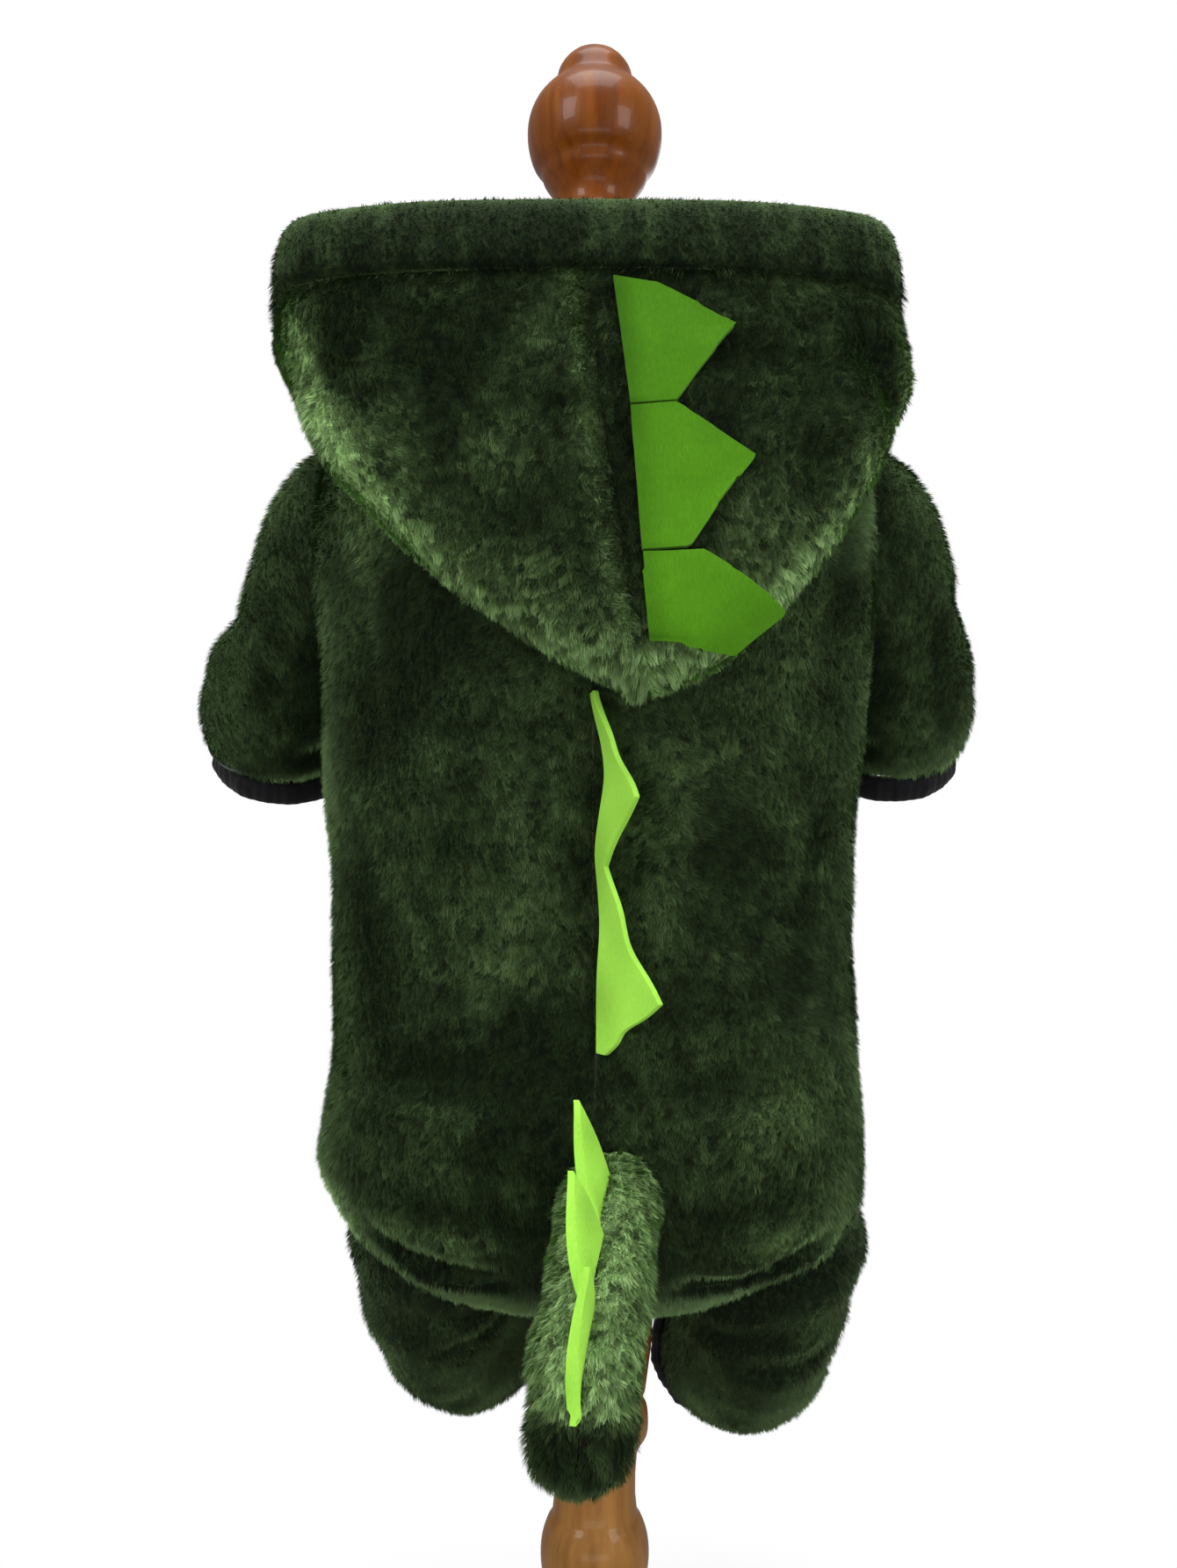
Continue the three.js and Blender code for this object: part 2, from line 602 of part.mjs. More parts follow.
function tailHalf(side) {
  const rings = evenSteps(0, 1, TAIL_STEPS).map((place) => {
    const { row, across, ridge, middle } = tailFrame(place);
    return evenSteps(0, Math.PI, TAIL_HALF_SIDES).map((turn) => middle.clone()
      .addScaledVector(across, side * (SEAM_GAP / 2 + row.wide * Math.sin(turn)))
      .addScaledVector(ridge, row.tall * Math.cos(turn)));
  });
  return cutAway(loftGeometry(rings), [trunkBody]);
}

for (const { name, sign } of sides) addPiece(`tail_${name}`, tailHalf(sign), plush);

// Felt spikes that lie on the right side of the hood, made from its surface
const hoodRay = new THREE.Raycaster();
const hoodRight = pajamas.children.find((mesh) => mesh.name === 'hood_right');
const inFrontOfBack = -400;

function onHood(x, z, out) {
  hoodRay.set(new THREE.Vector3(x, inFrontOfBack, z), new THREE.Vector3(0, 1, 0));
  const [{ point, face }] = hoodRay.intersectObject(hoodRight);
  return point.clone().addScaledVector(face.normal, out);
}

function alongEdge(edge, place) {
  const path = new THREE.CurvePath();
  const points = edge.map(([x, z]) => new THREE.Vector3(x, 0, z));
  points.slice(1).forEach((point, i) => path.add(new THREE.LineCurve3(points[i], point)));
  return path.getPoint(place);
}

function hoodSpike({ upper, lower }) {
  const grid = (out) => evenSteps(0, 1, HOOD_SPIKE_STEPS).map((place) => {
    const [top, bottom] = [alongEdge(upper, place), alongEdge(lower, place)];
    return evenSteps(0, 1, 4).map((part) => {
      const point = top.clone().lerp(bottom, part);
      const lift = THREE.MathUtils.lerp(FELT_LIFT, FELT_TIP_LIFT, place);
      return onHood(point.x, point.z, lift + out);
    });
  });
  return wallGeometry(grid(FELT_WALL), grid(0), false);
}

HOOD_SPIKES.forEach((spike, i) => addPiece(`hood_spike_${i + 1}`, hoodSpike(spike), felt));

// Felt strip that stands along the centre back seam
function backStrip() {
  const row = (place, out, half) => {
    const { z, height, lean } = rowAt(BACK_SPIKE_ROWS, place);
    const angle = THREE.MathUtils.degToRad(lean);
    return new THREE.Vector3(
      BACK_SEAM_X + half * Math.cos(angle) + height * out * Math.sin(angle),
      trunkPoint(0, trunkPlaceAt(z)).y - FELT_LIFT - height * out * Math.cos(angle) + half * Math.sin(angle),
      z,
    );
  };
  const places = evenSteps(0, 1, BACK_SPIKE_STEPS);
  const grid = (half) => places.map((place) => [0, 0.5, 1].map((out) => row(place, out, half)));
  return wallGeometry(grid(FELT_WALL / 2), grid(-FELT_WALL / 2), false);
}

addPiece('back_spikes', backStrip(), felt);

// Felt spikes that stand along the ridge of the tail
function tailSpike({ from, to, tip }) {
  const point = new THREE.Vector3(...tip);
  const grid = (half) => evenSteps(0, 1, TAIL_SPIKE_STEPS).map((part) => {
    const { row, across, ridge, middle } = tailFrame(THREE.MathUtils.lerp(from, to, part));
    const base = middle.clone()
      .addScaledVector(ridge, row.tall + TAIL_SPIKE_LIFT)
      .addScaledVector(across, half);
    const edge = base.clone().lerp(point.clone().addScaledVector(across, half), TAIL_SPIKE_REACH);
    return [0, 0.5, 1].map((out) => base.clone().lerp(edge, out));
  });
  return wallGeometry(grid(FELT_WALL / 2), grid(-FELT_WALL / 2), false);
}

TAIL_SPIKES.forEach((spike, i) => addPiece(`tail_spike_${i + 1}`, tailSpike(spike), felt));

// Dress form: a smooth torso under the cloth, with a plain neck
function formTorso() {
  const turns = evenSteps(0, 2 * Math.PI, FORM_SIDES).slice(0, -1);
  const circle = ({ z, radius, tilt }) => turns.map((turn) => new THREE.Vector3(
    radius * Math.sin(turn),
    -radius * Math.cos(turn),
    z + tilt * radius * Math.cos(turn),
  ));
  const { from, to, steps } = FORM_PLACES;
  const rings = evenSteps(from, to, steps).map((place) => {
    const nearShoulder = THREE.MathUtils.smoothstep(place, ...SHOULDER_PLACES);
    const clearance = THREE.MathUtils.lerp(FORM_CLEARANCE, SHOULDER_CLEARANCE, nearShoulder);
    return surfaceGrid(trunkPoint, turns, [place], -PLUSH_WALL - clearance)[0];
  });
  return loftGeometry([circle(FORM_FOOT), ...rings, ...FORM_NECK_ROWS.map(circle)]);
}

addPiece('form_torso', formTorso(), cover);

// Turned wood, each profile spun round the upright axis
function turned(profile, count) {
  const points = profile.map(([radius, z]) => new THREE.Vector2(radius, z));
  return new THREE.LatheGeometry(points, count).rotateX(Math.PI / 2);
}

addPiece('finial', turned(FINIAL_PROFILE, TURNED_SIDES), varnish);
addPiece('post', turned(POST_PROFILE, TURNED_SIDES), varnish);
addPiece('base', turned(BASE_PROFILE, BASE_SIDES), varnish);

export default pajamas;
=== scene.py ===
"""Looks for the hooded plush dog pajamas on a dress form.

Sizes are millimetres until a mesh is made, in the same frame as the solids.
"""

import math

import bpy
import numpy as np
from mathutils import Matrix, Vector
from mathutils.bvhtree import BVHTree


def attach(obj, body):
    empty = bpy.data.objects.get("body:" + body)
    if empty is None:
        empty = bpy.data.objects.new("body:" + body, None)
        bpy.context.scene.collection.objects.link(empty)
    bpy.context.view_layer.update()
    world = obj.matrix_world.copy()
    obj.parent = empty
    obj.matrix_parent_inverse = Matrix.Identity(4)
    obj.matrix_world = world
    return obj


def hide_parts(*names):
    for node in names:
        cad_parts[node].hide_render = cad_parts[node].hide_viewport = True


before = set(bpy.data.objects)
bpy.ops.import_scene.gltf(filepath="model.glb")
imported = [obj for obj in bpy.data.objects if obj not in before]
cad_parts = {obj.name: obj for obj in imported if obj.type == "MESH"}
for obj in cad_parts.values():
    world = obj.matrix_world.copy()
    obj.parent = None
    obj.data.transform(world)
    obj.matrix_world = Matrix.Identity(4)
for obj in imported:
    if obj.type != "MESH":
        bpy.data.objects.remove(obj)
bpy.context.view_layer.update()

MM = 0.001
SEAM_GAP = 0.3
PLUSH_WALL = 4.5
PILE = 2.5  # depth of the backing cloth under the tips of the pile
CUFF_WALL = 3.0
FELT_WALL = 2.0
FELT_LIFT = 0.8
FELT_TIP_LIFT = 1.6
CUFF_LENGTH = 11.0
FORM_CLEARANCE = 4.0
SHOULDER_CLEARANCE = 0.6
SQUARENESS = 2.2
SIDE_SEAM_TURN = math.radians(98)
SEAM_TURN = SEAM_GAP / 2 / 105
STEP = 1e-3  # small step along a surface, for its slope
EDGE_ANGLE = 50  # degrees over which an edge is shaded sharp

# Places up the trunk that its cloth's height is looked for between
LOW_PLACE = 0.2
HIGH_PLACE = 0.95
TRUNK_LOW_Z = 218
TRUNK_HIGH_Z = 574
TRUNK_INSET = 1.5


def table(columns, rows):
    """Named columns of a table as arrays."""
    names = columns.split()
    values = np.array(rows, float)
    return {name: values[:, i] for i, name in enumerate(names)}


TRUNK = table("z x y wide back front tilt", [
    (222, 0, 12, 27, 39, 38, 0),
    (219, 0, 8, 44, 46, 48, 0),
    (223, 0, 4, 66, 58, 58, 0),
    (235, 1, 0, 88, 72, 68, 0),
    (252, 2, 0, 103, 81, 73, 0),
    (272, -1, 0, 109, 85, 75, 0),
    (292, -1, 0, 108.5, 84, 75, 0),
    (320, 0, 0, 105, 80, 74, 0),
    (355, -1, 0, 104.5, 78, 73, 0),
    (395, -1, 0, 105.5, 78, 74, 0),
    (430, -1, 0, 108, 78, 75, 0),
    (465, 0, 0, 110, 78, 76, 0),
    (500, 0, 0, 113, 77, 77, 0),
    (528, 0, 0, 113, 75, 76, 0),
    (549, 0, 0, 107, 71, 73, 0.03),
    (563, 0, 0, 93, 64, 68, 0.08),
    (571, 0, 0, 74, 57, 62, 0.14),
    (575, 0, 0, 56, 51, 56, 0.2),
])

RIGHT_SLEEVE = table("x y z wide deep", [
    (74, 12, 531, 41, 39),
    (97, 18, 522, 42.5, 41),
    (115, 29, 503, 40, 41),
    (124, 42, 483, 38.5, 41),
    (130, 53, 466, 39, 40),
    (132, 62, 453, 37.5, 37),
    (132, 68, 445, 32, 31),
])
LEFT_SLEEVE = table("x y z wide deep", [
    (-74, 12, 532, 41.5, 39),
    (-96, 18, 521, 41, 41),
    (-114, 30, 501, 36, 41),
    (-126, 42, 482, 37.5, 41),
    (-135, 53, 465, 39.5, 40),
    (-139, 62, 452, 38, 37),
    (-140, 68, 444.5, 32, 31),
])

RIGHT_LEG = table("x y z wide deep", [
    (63, -6, 252, 44, 42),
    (64, -6, 236, 45.5, 44),
    (65, -3, 225, 40, 39.5),
    (65, 1, 214, 38, 39),
    (64, 7, 203, 34.5, 36.5),
    (64, 18, 191, 35, 36),
    (60, 35, 182, 33.5, 34),
    (55, 50, 179, 29, 29.5),
])
LEFT_LEG = table("x y z wide deep", [
    (-61, -6, 258, 38, 42),
    (-61, -6, 242, 38.5, 44),
    (-62, -3, 231, 34.5, 39),
    (-61, 1, 220, 34.5, 39),
    (-59.5, 7, 209, 31.5, 35),
    (-57, 18, 198, 32.5, 35),
    (-52, 35, 189, 32, 33),
    (-49, 50, 186, 28.5, 28.5),
])

HOOD = table("turn x y z roll rise puff edge_x edge_y", [
    (0, 0, -99, 440, 24, 1, 3, 0, -104),
    (14, 25, -98, 451, 24, 1, 3, 27, -103.5),
    (27, 50, -95, 470, 24, 1, 3, 53.5, -102),
    (39, 75, -90, 496, 24, 1, 3, 79, -98),
    (50, 92, -82, 522, 20, 1, 3, 98, -91),
    (62, 102, -66, 549, 18, 0.9, 2, 107.5, -77),
    (76, 108, -40, 563, 16, 0.6, 2, 112.5, -47),
    (92, 110, 0, 565, 15, 0.4, 1.5, 115, -5),
    (112, 105, 36, 565, 15, 0.4, 1, 110, 38),
    (136, 86, 59, 561, 14, 0.4, 1, 88, 63),
    (158, 54, 71, 557, 14, 0.4, 1, 56, 75),
    (179, 0.6, 75, 555, 14, 0.4, 1, 0.6, 79),
])
HOOD_LIFT = 3.0
CASING_SEAM_Z = 584.0
CASING_SEAM_DROP = 12.0
HOOD_SKEW_Z = [430, 452, 474, 496, 518, 540, 556, 584]
HOOD_SKEW_X = [19, 16, 11, 7, 4, 1, 0, -3]
BAND_SECTION = [
    (-0.3, 0.9), (2.2, 7), (1.8, 16), (-1, 22), (-4.5, 23), (-8, 21.5), (-9.6, 12), (-7, 2.2),
]

TAIL = table("x y z wide tall", [
    (5, -62, 276, 19, 22),
    (4, -84, 270, 19, 21),
    (2, -104, 260, 18.5, 19.5),
    (-1, -123, 246, 18.5, 18.5),
    (-4, -138, 231, 18.5, 17.5),
    (-5, -146, 219, 18, 16.5),
    (-6, -149.5, 210, 15.5, 13.5),
    (-6, -151, 204.5, 8, 7),
])

HOOD_SPIKES = [
    ([(5.5, 576), (19.5, 574), (44.5, 561)], [(11, 534.5), (25.5, 535.5), (44, 559.6)]),
    ([(11, 533.4), (25.5, 534.2), (50, 517.6)], [(14.5, 487), (29.5, 488), (49.5, 516.2)]),
    ([(14.8, 485.7), (34, 486.3), (58, 472.2)], [(17.2, 459.5), (42, 457.5), (57.5, 470.8)]),
]
BACK_SPIKES = table("z height lean", [
    (447, 4, 12),
    (436, 9, 15),
    (409.5, 27, 20),
    (397, 14, 22),
    (387, 5.5, 24),
    (368, 15, 30),
    (342, 32, 35),
    (330, 15, 35),
    (323, 3, 35),
])
BACK_SEAM_X = 2.5
TAIL_SPIKES = [
    (0.17, 0.31, (-6.5, -103, 311)),
    (0.315, 0.465, (-8, -127, 293)),
    (0.47, 0.7, (-3, -150, 270)),
]

FORM_NECK = [(571, 46, 0.2), (584, 42, 0.15), (602, 40, 0.05), (620, 39, 0), (627.7, 37, 0)]
FINIAL_PROFILE = [
    (0, 628), (37, 628), (38, 632), (34, 637), (21, 640), (20, 645), (15.5, 649),
    (15, 655), (17.5, 660), (20.5, 664.5), (21.6, 667.5), (24.6, 671.5), (26.4, 677), (27, 683),
    (26.4, 688.4), (24, 694.2), (20, 699.2), (16.4, 702.3), (15.4, 705), (14.2, 709), (10.5, 713.6),
    (5.5, 716), (0, 716.7),
]
POST_PROFILE = [
    (0, 22.3), (30, 22.3), (30, 27), (24, 31), (18.5, 40), (17, 52), (17, 94),
    (18.5, 97), (20.6, 103), (21.8, 112), (21.2, 120), (18.8, 127), (17, 130),
    (17, 153), (18.5, 157), (21, 161), (21.5, 167), (20.8, 172.5), (19, 175.5),
    (20.4, 179), (20.5, 238.7), (0, 238.7),
]
BASE_PROFILE = [
    (0, 0), (102, 0), (105, 3), (105, 11), (102, 15), (96, 17), (92, 21), (88, 22), (0, 22),
]


# Shared geometry

def smoothstep(value, low, high):
    part = np.clip((value - low) / (high - low), 0, 1)
    return part * part * (3 - 2 * part)


def bell(value, middle, width):
    """1 at the middle, and less to both sides."""
    return np.exp(-(((value - middle) / width) ** 2))


def bells(value, rows):
    """Sum of bells, each with its middle, its width and its height."""
    return sum(height * bell(value, middle, width) for middle, width, height in rows)


def round_turns(count):
    return np.linspace(0, 2 * math.pi, count, endpoint=False)


def row_at(rows, place):
    """Blends every column at places from 0 to 1."""
    last = len(next(iter(rows.values()))) - 1
    scaled = np.clip(place, 0, 1) * last
    index = np.minimum(np.floor(scaled).astype(int), last - 1)
    part = scaled - index
    row = {}
    for name, column in rows.items():
        before = column[np.maximum(index - 1, 0)]
        start = column[index]
        end = column[index + 1]
        after = column[np.minimum(index + 2, last)]
        square = 2 * before - 5 * start + 4 * end - after
        cube = 3 * start - before - 3 * end + after
        row[name] = start + 0.5 * part * (end - before + part * (square + part * cube))
    return row


def straight_row_at(rows, place):
    last = len(next(iter(rows.values()))) - 1
    return {name: np.interp(place * last, np.arange(last + 1), column) for name, column in rows.items()}


def unit(vectors):
    length = np.linalg.norm(vectors, axis=-1, keepdims=True)
    return vectors / np.maximum(length, 1e-9)


def trunk_point(turn, place):
    turn, place = np.broadcast_arrays(turn, place)
    row = row_at(TRUNK, place)
    power = 2 / SQUARENESS
    across = np.sign(np.sin(turn)) * np.abs(np.sin(turn)) ** power
    behind = np.sign(np.cos(turn)) * np.abs(np.cos(turn)) ** power
    y = row["y"] - behind * np.where(behind > 0, row["back"], row["front"])
    return np.stack([row["x"] + row["wide"] * across, y, row["z"] - row["tilt"] * y], -1)


def moved_out(surface, u, v, out):
    """A surface's points at grids u and v, moved along its normal."""
    along = surface(u + STEP, v) - surface(u - STEP, v)
    up = surface(u, v + STEP) - surface(u, v - STEP)
    return surface(u, v) + unit(np.cross(along, up)) * np.asarray(out)[..., None]


def trunk_place_at(z):
    low = np.full(np.shape(z), LOW_PLACE)
    high = np.full(np.shape(z), HIGH_PLACE)
    for _ in range(16):
        middle = (low + high) / 2
        under = row_at(TRUNK, middle)["z"] < z
        low = np.where(under, middle, low)
        high = np.where(under, high, middle)
    return low


def trunk_turn_at(x, place):
    """Turn of the trunk's back where its outline stands at x."""
    row = row_at(TRUNK, place)
    across = np.clip((x - row["x"]) / row["wide"], -0.995, 0.995)
    return np.sign(across) * np.arcsin(np.abs(across) ** (SQUARENESS / 2))


def on_back(points):
    """3-D points on the trunk's back at (x, z)."""
    xs, zs = np.array(points, float).T
    places = trunk_place_at(zs)
    return trunk_point(trunk_turn_at(xs, places), places)


def on_trunk(points):
    """3-D points on the trunk at (turn in degrees, z)."""
    turns, zs = np.array(points, float).T
    return trunk_point(np.radians(turns), trunk_place_at(zs))


def outside_trunk(points):
    """Whether each point lies outside the trunk's cloth."""
    zs = points[..., 2]
    row = row_at(TRUNK, trunk_place_at(zs))
    low_z = row_at(TRUNK, np.full(np.shape(zs), LOW_PLACE))["z"]
    share = np.clip((zs - TRUNK_LOW_Z) / (low_z - TRUNK_LOW_Z), 0, 1)
    shrink = np.maximum(np.where(zs < low_z, np.sqrt(share), 1), 0.02)
    half = np.where(points[..., 1] < row["y"], row["back"], row["front"])
    x = (points[..., 0] - row["x"]) / ((row["wide"] - TRUNK_INSET) * shrink)
    y = (points[..., 1] - row["y"]) / ((half - TRUNK_INSET) * shrink)
    outside = np.abs(x) ** SQUARENESS + np.abs(y) ** SQUARENESS > 1
    return outside | (zs > TRUNK_HIGH_Z) | (zs < TRUNK_LOW_Z + 1)


def curve_through(points, places):
    """Centripetal curve through points, at places from 0 to 1."""
    points = np.asarray(points, float)
    last = len(points) - 1
    padded = np.concatenate([[2 * points[0] - points[1]], points, [2 * points[-1] - points[-2]]])
    scaled = np.clip(places, 0, 1) * last
    index = np.minimum(np.floor(scaled).astype(int), last - 1)
    part = (scaled - index)[:, None]
    p0, p1, p2, p3 = (padded[index + i] for i in range(4))
    pairs = ((p0, p1), (p1, p2), (p2, p3))
    gap = [np.sum((b - a) ** 2, 1, keepdims=True) ** 0.25 for a, b in pairs]
    d1 = np.where(gap[1] < 1e-4, 1, gap[1])
    d0 = np.where(gap[0] < 1e-4, d1, gap[0])
    d2 = np.where(gap[2] < 1e-4, d1, gap[2])
    start = ((p1 - p0) / d0 - (p2 - p0) / (d0 + d1) + (p2 - p1) / d1) * d1
    end = ((p2 - p1) / d1 - (p3 - p1) / (d1 + d2) + (p3 - p2) / d2) * d1
    square = -3 * p1 + 3 * p2 - 2 * start - end
    cube = 2 * p1 - 2 * p2 + start + end
    return p1 + part * (start + part * (square + part * cube))


def smooth_line(points, step=2.0):
    """Points about step apart along a smooth line."""
    points = np.asarray(points, float)
    length = np.linalg.norm(np.diff(points, axis=0), axis=1).sum()
    return curve_through(points, np.linspace(0, 1, max(int(length / step), 8)))


WAVE_COUNT = 14


def waves(points, scale, seed):
    """Soft noise from -1 to 1, with lumps about scale across."""
    rng = np.random.default_rng(seed)
    direction = unit(rng.normal(size=(WAVE_COUNT, 3)))
    size = 2 * math.pi / scale * rng.uniform(0.35, 1.1, (WAVE_COUNT, 1))
    phase = rng.uniform(0, 2 * math.pi, WAVE_COUNT)
    total = np.sin(points @ (direction * size).T + phase).sum(-1)
    return total / math.sqrt(WAVE_COUNT / 2) / 1.6


def drift(points, scale, seed):
    """A soft noise of directions."""
    return np.stack([waves(points, scale, seed + i) for i in range(3)], 1)


# Creases. Each is a line of points on the cloth with its width and its depth,
# less than 0 for a trough, over 0 for a ridge.

CREASE_DEPTH = 1.6
CREASE_TAPER = 0.3  # share of a crease's length that each end fades over


def relief(points, creases):
    total = np.zeros(points.shape[:-1])
    flat = points.reshape(-1, 3)
    for line, width, depth in creases:
        path = smooth_line(line)
        along = np.linspace(0, 1, len(path))
        taper = smoothstep(along, 0, CREASE_TAPER) * smoothstep(along[::-1], 0, CREASE_TAPER)
        low, high = path.min(0) - 3 * width, path.max(0) + 3 * width
        near = np.flatnonzero(((flat > low) & (flat < high)).all(1))
        if not len(near):
            continue
        gap = np.linalg.norm(flat[near][:, None] - path[None], axis=2)
        nearest = gap.argmin(1)
        distance = gap[np.arange(len(near)), nearest]
        total.reshape(-1)[near] += CREASE_DEPTH * depth * taper[nearest] * bell(distance, 0, width)
    return total


TRUNK_CREASES = [
    # drag lines from the armholes down the back
    (on_back([(-92, 500), (-88, 470), (-84, 440), (-86, 410)]), 9, -2.6),
    (on_back([(-76, 478), (-70, 452), (-69, 425)]), 8, -1.5),
    (on_back([(95, 505), (92, 478), (86, 450), (84, 425)]), 9, -2.4),
    (on_back([(79, 470), (74, 445), (76, 418)]), 7, -1.4),
    (on_back([(60, 415), (64, 385), (60, 352)]), 10, -1.3),
    (on_back([(-52, 405), (-58, 370), (-50, 335)]), 11, -1.2),
    (on_back([(-30, 420), (-24, 385), (-34, 352)]), 10, 1.1),
    (on_back([(33, 432), (27, 400), (36, 372)]), 10, 1.1),
    # long soft drag line beside each side seam
    (on_back([(88, 420), (80, 388), (70, 352), (66, 330)]), 8, -1.5),
    (on_back([(-90, 405), (-82, 372), (-84, 338)]), 8, -1.3),
    # cross folds over the seat
    (on_back([(-88, 322), (-60, 312), (-34, 315)]), 7, -1.8),
    (on_back([(-80, 306), (-50, 299), (-28, 303)]), 8, 1.4),
    (on_back([(34, 318), (62, 309), (90, 314)]), 7, -1.8),
    (on_back([(40, 300), (68, 294), (88, 298)]), 8, 1.4),
    (on_back([(-70, 275), (-46, 268), (-24, 272)]), 8, -1.6),
    (on_back([(30, 270), (54, 266), (78, 274)]), 8, -1.6),
    # folds under the rump: a roll, the crease under it, and a second roll
    (on_back([(-84, 266), (-62, 257), (-26, 253)]), 6, 2.4),
    (on_back([(-86, 257), (-62, 248), (-22, 244)]), 3, -5.0),
    (on_back([(-80, 248), (-56, 239), (-28, 237)]), 4.5, 2.4),
    (on_back([(26, 248), (40, 245), (54, 247), (69, 255), (90, 266)]), 6, 2.4),
    (on_back([(22, 240), (38, 237), (52, 239), (67, 247), (90, 258)]), 3, -5.0),
    (on_back([(60, 241), (78, 245), (90, 252)]), 3.5, 2.2),
    # sides
    (on_trunk([(88, 400), (96, 380), (92, 350)]), 10, -1.8),
    (on_trunk([(-86, 395), (-95, 372), (-90, 345)]), 10, -1.8),
    (on_trunk([(104, 330), (98, 305), (108, 285)]), 9, 1.6),
    (on_trunk([(-102, 335), (-97, 310), (-108, 290)]), 9, 1.6),
    # belly: cross folds between the armholes, and loose lines below them
    (on_trunk([(128, 520), (150, 508), (176, 512)]), 8, -2.2),
    (on_trunk([(-126, 514), (-148, 500), (-174, 502)]), 8, -2.0),
    (on_trunk([(132, 492), (152, 482), (170, 486)]), 9, 1.6),
    (on_trunk([(-134, 484), (-156, 474), (-172, 480)]), 9, 1.5),
    (on_trunk([(120, 452), (138, 430), (142, 400)]), 10, -2.0),
    (on_trunk([(-122, 448), (-136, 424), (-146, 392)]), 10, -2.1),
    (on_trunk([(160, 440), (156, 405), (164, 372)]), 11, 1.5),
    (on_trunk([(-158, 432), (-163, 398), (-156, 366)]), 11, 1.4),
    (on_trunk([(134, 330), (154, 318), (174, 322)]), 8, -2.0),
    (on_trunk([(-130, 322), (-152, 310), (-170, 316)]), 8, -2.0),
    (on_trunk([(128, 276), (148, 262), (168, 260)]), 7, -2.4),
    (on_trunk([(-128, 272), (-146, 260), (-168, 262)]), 7, -2.2),
    (on_trunk([(130, 262), (150, 250), (170, 247)]), 6, 2.0),
    (on_trunk([(-132, 260), (-152, 248), (-170, 248)]), 6, 2.0),
]


# Meshes

def new_mesh(name, points, faces):
    """A mesh from millimetre points and faces, quads or triangles."""
    mesh = bpy.data.meshes.new(name)
    points = np.asarray(points, np.float32).reshape(-1, 3) * MM
    faces = np.asarray(faces, np.int32)
    corner_count = faces.shape[1]
    mesh.vertices.add(len(points))
    mesh.vertices.foreach_set("co", points.ravel())
    mesh.loops.add(faces.size)
    mesh.loops.foreach_set("vertex_index", faces.ravel())
    mesh.polygons.add(len(faces))
    starts = np.arange(0, faces.size, corner_count, dtype=np.int32)
    mesh.polygons.foreach_set("loop_start", starts)
    mesh.polygons.foreach_set("loop_total", np.full(len(faces), corner_count, np.int32))
    mesh.update(calc_edges=True)
    return mesh


def quads_of(rows, columns, round_columns, start=0):
    """Quads of a grid, whose last column joins the first if it is round."""
    spans = columns if round_columns else columns - 1
    row, column = np.meshgrid(np.arange(rows - 1), np.arange(spans), indexing="ij")
    after = (column + 1) % columns
    quads = np.stack([
        row * columns + column,
        row * columns + after,
        (row + 1) * columns + after,
        (row + 1) * columns + column,
    ], -1)
    return quads.reshape(-1, 4) + start


def halved(quads):
    """Two triangles for each quad."""
    return np.concatenate([quads[:, [0, 1, 2]], quads[:, [0, 2, 3]]])


def wall_mesh(name, outer, inner, round_columns):
    """A closed wall between two grids. Faces of the inner side and the rims have material 1."""
    rows, columns = outer.shape[:2]
    shift = rows * columns
    out_quads = quads_of(rows, columns, round_columns)
    in_quads = quads_of(rows, columns, round_columns, shift)[:, ::-1]
    spans = columns if round_columns else columns - 1
    c = np.arange(spans)
    after = (c + 1) % columns
    end = (rows - 1) * columns
    rims = [
        np.stack([c, shift + c, shift + after, after], 1),
        np.stack([end + c, end + after, shift + end + after, shift + end + c], 1),
    ]
    if not round_columns:
        r = np.arange(rows - 1) * columns
        far = r + columns - 1
        rims.append(np.stack([r, r + columns, shift + r + columns, shift + r], 1))
        rims.append(np.stack([far, shift + far, shift + far + columns, far + columns], 1))
    faces = np.concatenate([out_quads, in_quads, *rims])
    points = np.concatenate([outer.reshape(-1, 3), inner.reshape(-1, 3)])
    corners = [points[faces[:, i]] for i in range(4)]
    volume = np.einsum("ij,ij->", corners[0], np.cross(corners[1], corners[2]))
    volume += np.einsum("ij,ij->", corners[0], np.cross(corners[2], corners[3]))
    if volume < 0:
        faces = faces[:, ::-1]
    mesh = new_mesh(name, points, faces)
    inside = np.arange(len(faces)) >= len(out_quads)
    mesh.polygons.foreach_set("material_index", inside.astype(np.int32))
    return mesh


def loft_mesh(name, rings):
    """A closed body of triangles through rings, with flat ends."""
    rings = np.asarray(rings, float)
    rows, columns = rings.shape[:2]
    points = np.concatenate([rings.reshape(-1, 3), rings[0].mean(0)[None], rings[-1].mean(0)[None]])
    c = np.arange(columns)
    after = (c + 1) % columns
    low, high = rows * columns, rows * columns + 1
    end = (rows - 1) * columns
    triangles = np.concatenate([
        halved(quads_of(rows, columns, True)),
        np.stack([after, c, np.full(columns, low)], 1),
        np.stack([end + c, end + after, np.full(columns, high)], 1),
    ])
    a, b, d = (points[triangles[:, i]] for i in range(3))
    if np.einsum("ij,ij->i", a, np.cross(b, d)).sum() < 0:
        triangles = triangles[:, ::-1]
    return new_mesh(name, points, triangles)


def put(name, data):
    """A new object in the scene."""
    thing = bpy.data.objects.new(name, data)
    bpy.context.scene.collection.objects.link(thing)
    return thing


def add_object(name, mesh, *materials, sharp=None):
    piece = put(name, mesh)
    for material in materials:
        mesh.materials.append(material)
    smooth(mesh, sharp)
    return piece


def smooth(mesh, sharp=None):
    mesh.shade_smooth()
    if sharp:
        mesh.set_sharp_from_angle(angle=math.radians(sharp))


